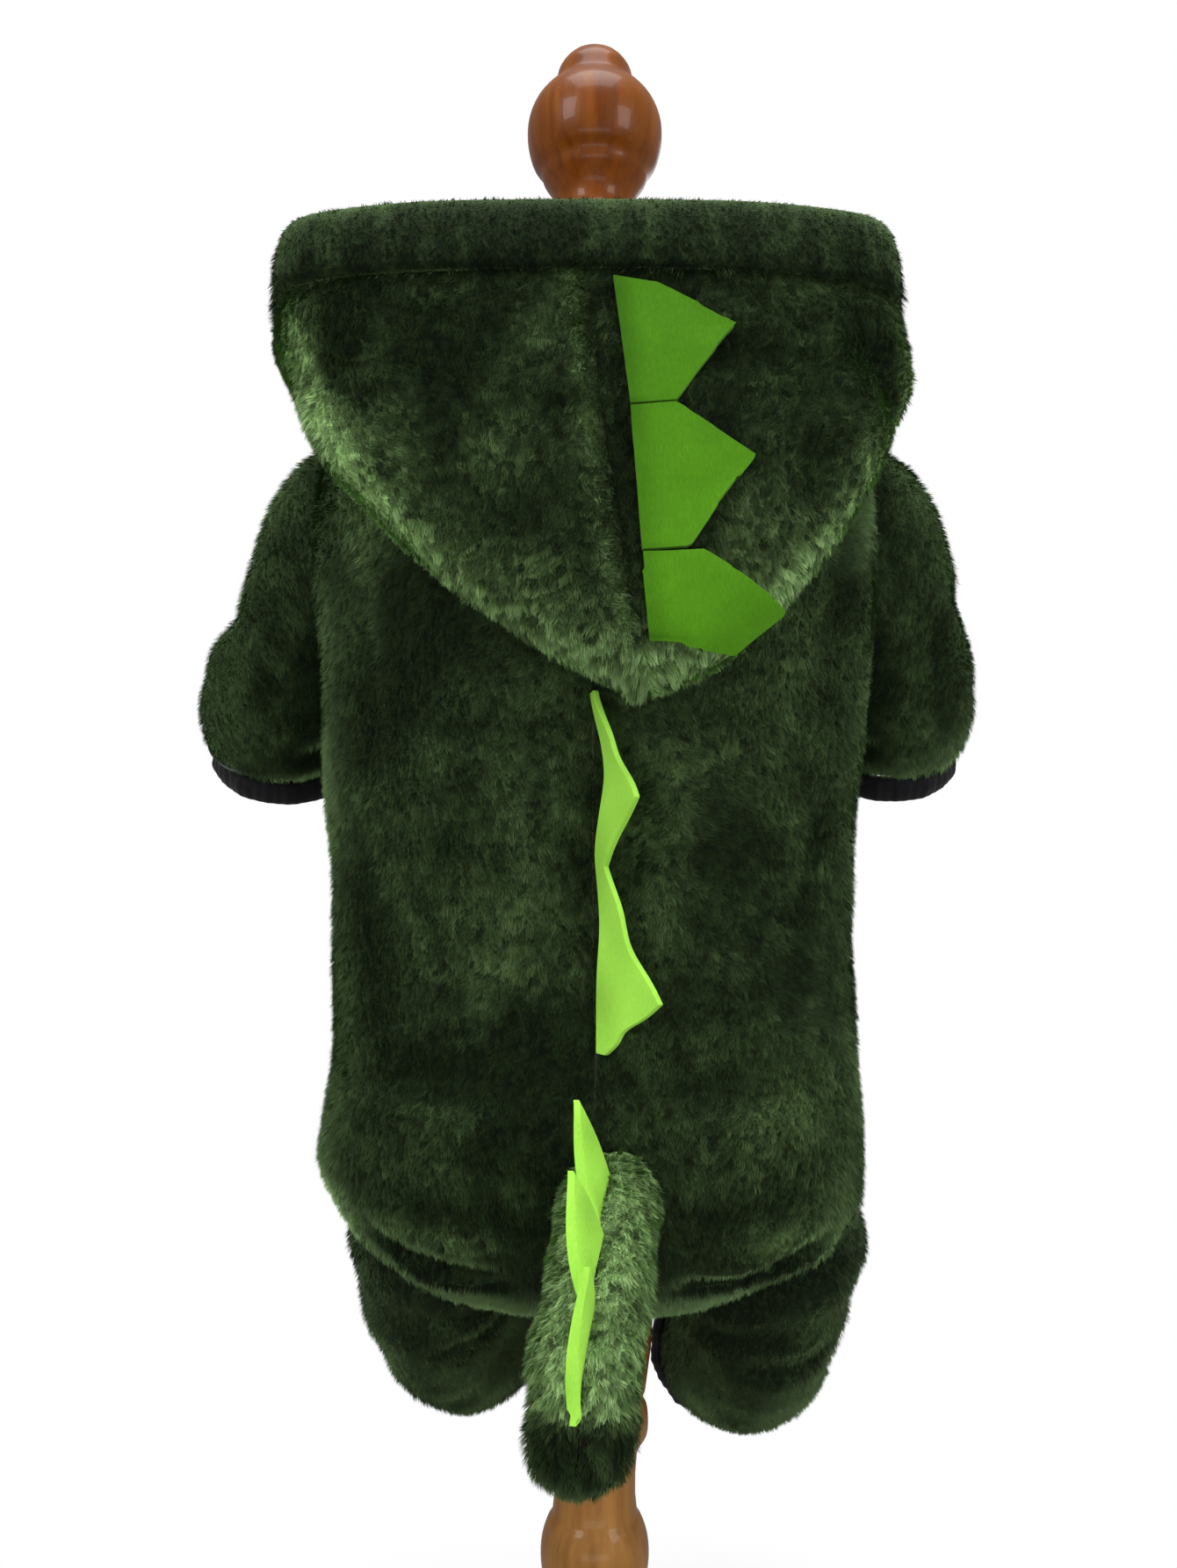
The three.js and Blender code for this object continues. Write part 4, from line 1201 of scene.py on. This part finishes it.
def hood_grid(columns, places):
    """Grid of the hood's surface, with its normals, for the right side."""
    ahead, behind = np.clip(places + STEP, 0, 1), np.clip(places - STEP, 0, 1)
    along = hood_lines(columns + STEP, places) - hood_lines(columns - STEP, places)
    up = hood_lines(columns, ahead) - hood_lines(columns, behind)
    return hood_lines(columns, places), unit(np.cross(along, up))


def hang(side, points):
    skew = hood_skew(points[..., 2])
    across = np.maximum(points[..., 0], 0) + SEAM_GAP / 2
    return np.stack([side * across + skew, points[..., 1], points[..., 2]], -1)


HOOD_COLUMNS = np.concatenate([np.linspace(0, 0.5, 44), np.linspace(0.5, 1, 34)[1:]])
HOOD_PLACES = np.linspace(0, 1, 72)
HOOD_LAP = 0.4  # how far each side's cloth reaches over the centre seam
hood_base, hood_normal = hood_grid(HOOD_COLUMNS, HOOD_PLACES)
# Creases of the hood, at (x, z) of its outer side as hung, each on its own side
HOOD_CREASES = {
    -1: [
        ([(-96, -96, 560), (-84, -101, 545), (-70, -104, 534)], 7, -1.6),
        ([(-100, -92, 545), (-92, -98, 524), (-78, -102, 506)], 8, 1.6),
        ([(-60, -108, 520), (-40, -112, 500), (-22, -114, 484)], 12, -1.6),
        ([(-34, -112, 560), (-30, -113, 530), (-20, -114, 506)], 11, 1.2),
        ([(-74, -106, 570), (-60, -108, 556), (-40, -110, 552)], 8, -1.2),
    ],
    1: [
        ([(26, -112, 572), (52, -112, 566), (76, -108, 560)], 6, 2.6),
        ([(22, -112, 565), (50, -112, 557), (80, -107, 548)], 6, -2.4),
        ([(84, -102, 566), (98, -95, 552), (104, -88, 534)], 7, -2.4),
        ([(70, -110, 530), (80, -106, 512), (72, -108, 494)], 10, -1.6),
        ([(98, -93, 560), (107, -86, 548), (108, -84, 532)], 6, 2.2),
        ([(40, -114, 510), (52, -113, 496), (50, -112, 482)], 10, 1.3),
    ],
}
# Painted light (amount over 0) and painted shade (amount under 0) spots of the hood, by side: x, z, wide,
# high, amount
HOOD_LIGHT_AND_SHADE = {
    -1: [
        (-30, 512, 24, 26, 0.06), (-75, 560, 20, 16, -0.03),
        (-14, 478, 12, 16, 0.08), (-98, 550, 8, 20, 0.06),
    ],
    1: [
        (46, 566, 18, 5, 0.12), (66, 545, 14, 14, -0.03),
        (82, 560, 10, 8, 0.07), (88, 520, 10, 12, 0.06),
    ],
}
HOOD_SIDE_CREASES = {
    -1: [
        ([(-128, -20, 575), (-126, 0, 572), (-122, 20, 574)], 6, -2.0),
        ([(-118, 36, 572), (-108, 50, 568), (-94, 62, 570)], 6, 1.8),
        ([(-70, 76, 566), (-52, 82, 562), (-34, 84, 566)], 6, -2.0),
    ],
    1: [
        ([(128, -30, 576), (127, -10, 571), (124, 12, 574)], 6, -2.0),
        ([(119, 34, 572), (108, 50, 568), (92, 62, 571)], 6, 1.8),
        ([(66, 76, 566), (48, 82, 562), (30, 84, 565)], 6, -1.8),
    ],
}


def hood_piece(name, side, count, seed):
    outer_at = hang(side, hood_base)
    lift = relief(outer_at, HOOD_CREASES[side] + HOOD_SIDE_CREASES[side]) + 0.6 * waves(outer_at, 30, 9)
    lift -= 1.2 * bell(np.arange(len(HOOD_COLUMNS)), 0, 1.2)[None]
    last = len(HOOD_PLACES) - 1
    lift -= 1.4 * bell(np.arange(len(HOOD_PLACES)), last, 1.4)[:, None]

    def shade(points):
        # Painted light and sheen along the fold's rim and at the tip, where the brushed pile catches light
        x, y, z = points.T
        behind = smoothstep(-y, 60, 85)
        over = np.maximum(z - hood_line(x), 0)
        fold = bell(over, 0, 9) + 0.25 * bell(over, 0, 26)
        low = 1 - smoothstep(z, 450, 570)
        value = patches(points, 50, 0.04) + fold * behind * (0.42 + 0.6 * low)
        value += 0.6 * bell(z, 444, 12) * behind
        # Painted light and shade spots, lighter on crease ridges and darker in troughs
        value += 0.7 * light_and_shade_spots(points, HOOD_LIGHT_AND_SHADE[side]) + 0.03 * relief(points, HOOD_CREASES[side])
        # A painted highlight on the fluffy ridge beside the centre seam
        if side < 0:
            value += 0.2 * bell(x, hood_skew(z) - 5, 4) * behind
        return value

    shells = []
    for out in (-PILE, -PLUSH_WALL):
        points = hood_base + hood_normal * (lift + out)[..., None]
        points[:, 0, 0] = 0
        shell = hang(side, points)
        shell[:, 0, 0] -= HOOD_LAP * side
        shells.append(shell)
    piece = add_object(name, wall_mesh(name, *shells, False), backing_material, lining, sharp=60)
    paint(piece, shade)
    place_piece(piece, name)
    seen = smoothstep(HOOD_PLACES, 0.5, 0.62)[:, None] * np.ones(len(HOOD_COLUMNS))[None]
    front = smoothstep(HOOD_COLUMNS, 0.55, 0.7)[None]
    density = (0.03 + 0.97 * seen) * (1 - 0.45 * front)

    def keep(points):
        covered = np.zeros(len(points), bool)
        if side > 0:
            outside = points[:, 1] < -80
            for upper, lower in HOOD_SPIKES:
                covered |= outside & within(points[:, [0, 2]], upper + lower[::-1], 1.5)
        return ~covered

    def extra(points):
        # A fluffy ridge stands along the centre seam, on its left side
        x, y, z = points.T
        ridge_x = hood_skew(z) - 4
        ridge = bell(x, ridge_x, 4) * (y < -90) * (0.5 if side < 0 else 0)
        curly = bell(x, ridge_x, 22) * (1 - smoothstep(z, 455, 520)) * (y < -80)
        return 1 + ridge + 0.2 * curly, 1 - 0.9 * ridge - 0.25 * curly

    nap = down_nap(seed, (0, -0.2, -1), 0.4)
    fur = blades(f"pile_{name}", shells[0], pile_material, count, seed, nap, shade,
                 side=side, keep=keep, density=density, extra=extra)
    return shells[0]


def within(points, outline, inset):
    """Whether each 2-D point lies inside an outline that is drawn in a little, by inset."""
    outline = np.array(outline, float)
    centre = outline.mean(0)
    outline = centre + (outline - centre) * (1 - inset / 20)
    inside = np.zeros(len(points), bool)
    for (x0, y0), (x1, y1) in zip(outline, np.roll(outline, -1, 0)):
        crosses = (y0 > points[:, 1]) != (y1 > points[:, 1])
        at = x0 + (points[:, 1] - y0) * (x1 - x0) / (y1 - y0 if y1 != y0 else 1e-9)
        inside ^= crosses & (points[:, 0] < at)
    return inside


hood_shells = {side: hood_piece(f"hood_{n}", side, 78000, 80 + side) for n, side in SIDES}


def closed_line(points, count):
    """A smooth closed line through corners."""
    points = np.array(points, float)
    wrapped = np.concatenate([points[-2:], points, points[:3]])
    places = (np.linspace(0, len(points), count, endpoint=False) + 2) / (len(wrapped) - 1)
    return curve_through(wrapped, places)


CASING_CLOTH = 1.6
BAND_HALF_WIDTH = 11
BAND_HALF_DEPTH = 7
BAND_LAP = 0.5  # how far each half's ends reach past the centre


def band_grid(seed):
    """Rings round the gathered casing, along the hood's edge, for the right side."""
    columns = np.concatenate([np.linspace(0, 0.5, 96), np.linspace(0.5, 1, 72)[1:]])
    top = np.array([1.0])
    base = hood_lines(columns, top)[0]
    along = unit(hood_lines(columns + STEP, top)[0] - hood_lines(columns - STEP, top)[0])
    out = unit(np.cross(along, base - hood_lines(columns, top - STEP)[0]))
    out[0, 0] = 0
    up = unit(np.cross(out, along))
    length = np.concatenate([[0], np.cumsum(np.linalg.norm(np.diff(base, axis=0), axis=1))])
    folds = 0.55 * np.sin(length / 2.9 + 2 * np.sin(length / 23)) + 0.35 * np.sin(length / 1.7 + 1.3)
    folds *= 0.6 + 0.4 * np.sin(length / 31 + seed)
    section = closed_line(BAND_SECTION, 26)
    section[:, 1] -= 2.2 * (1 - smoothstep(section[:, 1], 1, 9))
    centre = section.mean(0)[0]
    swell = (1 - (PILE - 1.0) / BAND_HALF_WIDTH) * (1 + folds[:, None] * 0.06)
    wide = centre + (section[None, :, 0] - centre) * swell
    high = section[None, :, 1] - 0.8 * smoothstep(section[None, :, 1], 12, 22)
    return base[:, None] + out[:, None] * wide[..., None] + up[:, None] * high[..., None]


def band_piece(name, side, count, seed):
    outer = band_grid(seed)
    inner = centre_of(outer) + (outer - centre_of(outer)) * (1 - CASING_CLOTH / BAND_HALF_DEPTH)
    shells = [hang(side, shell) for shell in (outer, inner)]
    for shell in shells:
        shell[0, :, 0] -= BAND_LAP * side
    grid = shells[0]

    def shade(points):
        # The casing's top is lighter, as painted light from above; streaks run down it.
        lit_top = smoothstep(points[:, 2], CASING_SEAM_Z + 15, CASING_SEAM_Z + 22)
        streaks = waves(points * (1, 1, 0.15), 9, 77)
        return patches(points, 71, 0.01, 0.015, 0.012) + 0.03 * lit_top + 0.025 * streaks

    piece = add_object(name, wall_mesh(name, *shells, True), backing_material, lining)
    paint(piece, shade)
    place_piece(piece, name)
    outward = outward_side(grid, grid_normals(grid, True), centre_of(grid))
    lying = down_nap(seed, (0, 0, -1), 0.25)

    def nap(points, normals):
        return lying(points, normals) + 1.1 * normals * (1, 1, 0)

    def extra(points):
        # The lowest pile hangs over the casing's seam
        low = 1 - smoothstep(points[:, 2], CASING_SEAM_Z + 2, CASING_SEAM_Z + 9)
        top = smoothstep(points[:, 2], CASING_SEAM_Z + 14, CASING_SEAM_Z + 21)
        return 1 + 0.6 * low - 0.25 * top, 1 - 0.1 * low + 0.2 * top

    # Darker pile with less sheen on the casing: painted shade.
    fur = blades(f"pile_{name}", grid, shaded_pile_material, count, seed, nap, shade,
                 round_columns=True, side=outward, length=3.0, lean=66, extra=extra,
                 depth=lambda points: even(points) * 0.5)


for side_name, sign in SIDES:
    band_piece(f"hood_band_{side_name}", sign, 26000, 90 + sign)


# Tail

def tail_frame(places):
    row, middle, along, across, _ = tube_frames(TAIL, places)
    ridge = unit(np.cross(across, along))
    ridge = ridge * np.where(ridge[..., 2:] < 0, -1, 1)
    return row, middle, along, across, ridge


def tail_half(name, side, count, seed):
    end = 1 - 0.14 * np.cos(np.linspace(0, math.pi / 2, 12))[1:]
    places = np.concatenate([np.linspace(0, 0.86, 40), end])
    turns = np.linspace(0, math.pi, 26)
    row, middle, _, across, ridge = tail_frame(places)
    wide, tall = (np.maximum(row[k] - PILE, 0.6)[:, None, None] for k in ("wide", "tall"))
    dip = 1 - 0.07 * (bell(turns, 0, 0.16) + bell(turns, math.pi, 0.16))
    grid = (
        middle[:, None]
        + side * across[:, None] * (SEAM_GAP / 2 + wide * np.sin(turns)[None, :, None])
        + ridge[:, None] * tall * (np.cos(turns) * dip)[None, :, None]
    )
    normals = grid_normals(grid)
    outward = outward_side(grid, normals, middle[:, None])
    grid = grid + normals * outward * 0.7 * waves(grid, 22, 31)[..., None]
    piece = add_object(name, loft_mesh(name, grid), backing_material)
    cut_by_trunk(piece)

    def shade(points):
        # Painted light: lighter over the tail's upper part, where light from above falls, a little lighter
        # on the right half, and darker next to the body, as painted shade.
        light = smoothstep(points[:, 2], 222, 238)
        value = 0.02 + light * (0.8 + 0.02 * side) + 0.05 * waves(points, 10, 12)
        return value * (1 - 0.4 * smoothstep(points[:, 1], -100, -80))

    paint(piece, shade)
    place_piece(piece, name)
    nap = down_nap(seed, (0, -0.5, -1), 0.3)
    fur = blades(f"pile_{name}", grid, pile_material, count, seed, nap, shade,
                 side=outward, keep=outside_trunk, length=4.0, lean=54)


for side_name, sign in SIDES:
    tail_half(f"tail_{side_name}", sign, 24000, 110 + sign)


# Felt

def felt_piece(name, sides, material, shade):
    """A felt cutout between its two sides, with worn edges."""
    front, back = outward_flip(*sides)
    piece = add_object(name, wall_mesh(name, front, back, False), material, material)
    piece.data.polygons.foreach_set("material_index", np.zeros(len(piece.data.polygons), np.int32))
    bevel = piece.modifiers.new("worn_edges", "BEVEL")
    bevel.width = 0.5 * MM
    bevel.segments = 2
    bevel.limit_method = "ANGLE"
    bevel.angle_limit = math.radians(EDGE_ANGLE)
    smooth(piece.data, EDGE_ANGLE)
    paint(piece, shade)
    place_piece(piece, name)


def outward_flip(front, back):
    """Swaps columns where the front's normals point to the back."""
    normals = grid_normals(front)
    if ((front - back) * normals).sum() < 0:
        return front[:, ::-1], back[:, ::-1]
    return front, back


def alongside(edge, places):
    edge = np.array(edge, float)
    at = np.concatenate([[0], np.cumsum(np.linalg.norm(np.diff(edge, axis=0), axis=1))])
    at /= at[-1]
    return np.stack([np.interp(places, at, edge[:, i]) for i in range(2)], 1)


shell = hood_shells[1]
tree = BVHTree.FromPolygons(
    [Vector(p) for p in shell.reshape(-1, 3)],
    quads_of(*shell.shape[:2], False).tolist(),
)


def hood_hit(x, z):
    place, normal, _, _ = tree.ray_cast(Vector((x, -400, z)), Vector((0, 1, 0)))
    normal = np.array(normal)
    return np.array(place), normal if normal[1] < 0 else -normal


def hood_spike(name, upper, lower, seed):
    places = np.linspace(0, 1, 26)
    tops, bottoms = alongside(upper, places), alongside(lower, places)
    bottoms[:, 1] -= 0.6 * (1 - smoothstep(places, 0.3, 0.6))
    parts = np.linspace(0, 1, 22)
    front = np.zeros((len(places), len(parts), 3))
    back = np.zeros_like(front)
    for i, place in enumerate(places):
        lift = FELT_LIFT + (FELT_TIP_LIFT - FELT_LIFT) * place
        for j, part in enumerate(parts):
            x, z = tops[i] + (bottoms[i] - tops[i]) * part
            point, normal = hood_hit(x, z)
            wave = 0.5 * float(waves(np.array([[x, 0, z]]), 22, seed)[0])
            for grid, extra in ((back, 0), (front, FELT_WALL)):
                grid[i, j] = point + normal * (PILE + lift + wave + extra)
    seam_x, seam_z = (np.array([tops[0][i], bottoms[0][i]]) for i in range(2))

    def shade(points):
        # Painted shade beside the seam, where the pile's ridge shades the felt; lighter towards the
        # bottom; and a thin darker line by the seam at the lower edge's start.
        along = np.interp(-points[:, 2], -seam_z, seam_x)
        edge = np.exp(-np.abs(points[:, 2] - seam_z[1]) / 0.8) * (points[:, 0] < along + 14)
        lower = smoothstep(-points[:, 2], -580, -480)
        return 0.1 + 0.5 * smoothstep(points[:, 0] - along, 0, 9) + 0.4 * lower - 0.4 * edge

    felt_piece(name, (front, back), hood_felt, shade)


for i, (upper, lower) in enumerate(HOOD_SPIKES):
    hood_spike(f"hood_spike_{i + 1}", upper, lower, 130 + i)


# How far the felt reaches down into the pile, to the seam
FELT_ROOT = 3.0
# The back strip's narrow places and its sideways wander: z, reach, amount
STRIP_WAISTS = [(425, 9, 0.4), (362, 10, 0.3), (331, 4, 0.25)]
STRIP_WANDER = [(419, 12, 2.2), (392, 9, -1), (366, 12, 1.1)]
HALVES = (FELT_WALL / 2, -FELT_WALL / 2)


def back_strip():
    row = straight_row_at(BACK_SPIKES, np.linspace(0, 1, 97))
    outs = np.linspace(0, 1, 12)[None]
    lean = np.radians(row["lean"])[:, None]
    z = row["z"]
    tall = row["height"] * (1 - bells(z, STRIP_WAISTS))
    height = (tall + FELT_ROOT)[:, None] * outs - FELT_ROOT
    wander = bells(z, STRIP_WANDER) - 3.2 * smoothstep(z, 428, 450)
    wave = 0.8 * np.sin(z / 9)[:, None] * outs + wander[:, None]
    depth = trunk_point(np.zeros(len(z)), trunk_place_at(z))[:, 1][:, None] - FELT_LIFT
    sides = []
    for half in HALVES:
        x = BACK_SEAM_X + (half + wave) * np.cos(lean) + height * np.sin(lean)
        y = depth - height * np.cos(lean) + (half + wave) * np.sin(lean)
        sides.append(np.stack([x, y, np.broadcast_to(z[:, None], x.shape)], -1))
    felt_piece("back_spikes", sides, strip_felt, lambda points: 0.85 + 0.15 * waves(points, 16, 8))


back_strip()


def tail_spike(name, first, last, tip):
    row, middle, _, across, ridge = tail_frame(np.linspace(first, last, 20))
    tip = np.array(tip, float)
    outs = np.linspace(0, 1, 14)[None, :, None]
    along = np.linspace(0, 1, 20)[:, None]
    bulge = 13 * along * along * (1 - along)
    sides = []
    for half in HALVES:
        base = middle + ridge * (row["tall"] - FELT_ROOT)[:, None] + across * (half - 2.2 * along)
        edge = tip + (base[-1] - tip) * (0.9 * along ** 1.3) - across * (bulge - half)
        sheet = base[:, None] + (edge - base)[:, None] * outs
        sides.append(sheet + across[:, None] * 0.9 * np.sin(math.pi * outs))
    felt_piece(name, sides, strip_felt, lambda points: 0.85 + 0.15 * waves(points, 12, 8))


for i, spike in enumerate(TAIL_SPIKES):
    tail_spike(f"tail_spike_{i + 1}", *spike)


# Dress form

def form_torso():
    turns = round_turns(96)

    def circle(z, radius, tilt):
        return np.stack([
            radius * np.sin(turns),
            -radius * np.cos(turns),
            z + tilt * radius * np.cos(turns),
        ], 1)

    rings = [circle(239, 30, 0)]
    for place in np.linspace(0.16, 0.93, 44):
        near = smoothstep(place, 0.86, 0.92)
        clearance = FORM_CLEARANCE + (SHOULDER_CLEARANCE - FORM_CLEARANCE) * near
        ring = moved_out(trunk_point, turns, np.full(len(turns), place), -PLUSH_WALL - clearance)
        rings.append(ring)
    rings.extend(circle(*row) for row in FORM_NECK)
    piece = add_object("form_torso_cover", loft_mesh("form_torso_cover", rings), linen, sharp=60)
    place_piece(piece, "form_torso")


form_torso()


# Turned wood

def turned(name, node, profile, material):
    """Spins a profile round the upright axis, with its curves smoothed."""
    points = np.array(profile, float)
    count = (len(points) - 1) * 3 + 1
    line = curve_through(points, np.linspace(0, 1, count))
    line[:, 0] = np.clip(line[:, 0], 0, points[:, 0].max())
    line[:, 1] = np.clip(line[:, 1], points[:, 1].min(), points[:, 1].max())
    line = line[1:-1]
    turns = round_turns(96)
    rings = np.stack([
        line[:, :1] * np.cos(turns)[None],
        line[:, :1] * np.sin(turns)[None],
        np.broadcast_to(line[:, 1:], (len(line), len(turns))),
    ], -1)
    piece = add_object(name, loft_mesh(name, rings), material, sharp=60)
    place_piece(piece, node)


turned("turned_finial", "finial", FINIAL_PROFILE, varnish)
turned("turned_post", "post", POST_PROFILE, post_wood)
turned("turned_base", "base", BASE_PROFILE, varnish)


# Floor, light and camera

FLOOR_RADIUS = 9000
FLOOR_Z = -0.5
LOW_GLOW = 0.45  # share of the floor's glow that lights the object
SKY_LIGHT = 0.42


def floor():
    n = Nodes("pale_floor")
    far = n.add("ShaderNodeVectorMath", operation="LENGTH")
    n.link(n.place(), far.inputs[0])
    blend = n.add("ShaderNodeMapRange")
    blend.inputs["From Min"].default_value = 0.1
    blend.inputs["From Max"].default_value = 0.26
    n.link(far.outputs["Value"], blend.inputs["Value"])
    n.set(Base_Color=(0.92, 0.92, 0.92, 1), Roughness=0.9)
    glow = n.add("ShaderNodeEmission")
    seen = n.add("ShaderNodeLightPath")
    share = n.add("ShaderNodeMapRange")
    share.inputs["To Min"].default_value = LOW_GLOW
    n.link(seen.outputs["Is Camera Ray"], share.inputs["Value"])
    n.link(share.outputs["Result"], glow.inputs["Strength"])
    mix = n.add("ShaderNodeMixShader")
    n.link(blend.outputs["Result"], mix.inputs["Fac"])
    n.link(n.shader.outputs["BSDF"], mix.inputs[1])
    n.link(glow.outputs["Emission"], mix.inputs[2])
    n.link(mix.outputs["Shader"], n.tree.nodes["Material Output"].inputs["Surface"])
    turns = round_turns(64)
    radii = np.linspace(0, FLOOR_RADIUS, 10)[1:]
    rings = np.stack([
        radii[:, None] * np.cos(turns)[None],
        radii[:, None] * np.sin(turns)[None],
        np.full((len(radii), len(turns)), FLOOR_Z),
    ], -1)
    points = np.concatenate([rings.reshape(-1, 3), [[0, 0, FLOOR_Z]]])
    c = np.arange(len(turns))
    centre = np.stack([np.full(len(c), len(points) - 1), c, (c + 1) % len(c)], 1)
    triangles = np.concatenate([halved(quads_of(len(radii), len(turns), True)), centre])
    piece = put("floor", new_mesh("floor", points, triangles))
    piece.data.materials.append(n.material)


floor()

world = bpy.data.worlds.new("studio")
world.use_nodes = True
bpy.context.scene.world = world
sky = world.node_tree.nodes["Background"]
sky.inputs["Color"].default_value = (1, 1, 1, 1)
sky.inputs["Strength"].default_value = SKY_LIGHT
shown = world.node_tree.nodes.new("ShaderNodeBackground")
shown.inputs["Color"].default_value = (1, 1, 1, 1)
shown.inputs["Strength"].default_value = 1.0
path = world.node_tree.nodes.new("ShaderNodeLightPath")
pick = world.node_tree.nodes.new("ShaderNodeMixShader")
surface = world.node_tree.nodes["World Output"].inputs["Surface"]
for source, target in (
    (path.outputs["Is Camera Ray"], pick.inputs["Fac"]),
    (sky.outputs["Background"], pick.inputs[1]),
    (shown.outputs["Background"], pick.inputs[2]),
    (pick.outputs["Shader"], surface),
):
    world.node_tree.links.new(source, target)

# Place, point aimed at, width and height, power
LIGHTS = {
    "key": ((-0.9, -1.0, 1.15), (0, 0, 0.42), (0.5, 0.7), 13),
    "fill": ((1.0, -0.9, 0.85), (0, 0, 0.42), (0.5, 0.7), 9),
    "low": ((0.0, -1.1, 0.1), (0, 0, 0.45), (1.2, 0.25), 3),
    "top": ((0.0, -0.25, 1.6), (0, 0, 0.4), (0.8, 0.8), 12),
    "back": ((0.3, 1.4, 0.9), (0, 0, 0.4), (0.9, 0.9), 5),
}
for name, (place, aim, size, power) in LIGHTS.items():
    data = bpy.data.lights.new(name, "AREA")
    data.shape = "RECTANGLE"
    data.size, data.size_y = size
    data.energy = power
    lamp = put(name, data)
    lamp.location = place
    lamp.rotation_euler = (Vector(aim) - Vector(place)).to_track_quat("-Z", "Y").to_euler()

camera_data = bpy.data.cameras.new("photo_view")
camera_data.sensor_width = 36
camera_data.lens = 30.25
camera_data.shift_y = 124.5 / 1785
camera_data.clip_start = 0.01
camera = put("photo_view", camera_data)
camera.location = (-0.0025, -0.531, 0.378)
camera.rotation_euler = (math.radians(90), 0, 0)
bpy.context.scene.camera = camera
bpy.context.scene.view_settings.view_transform = "Standard"
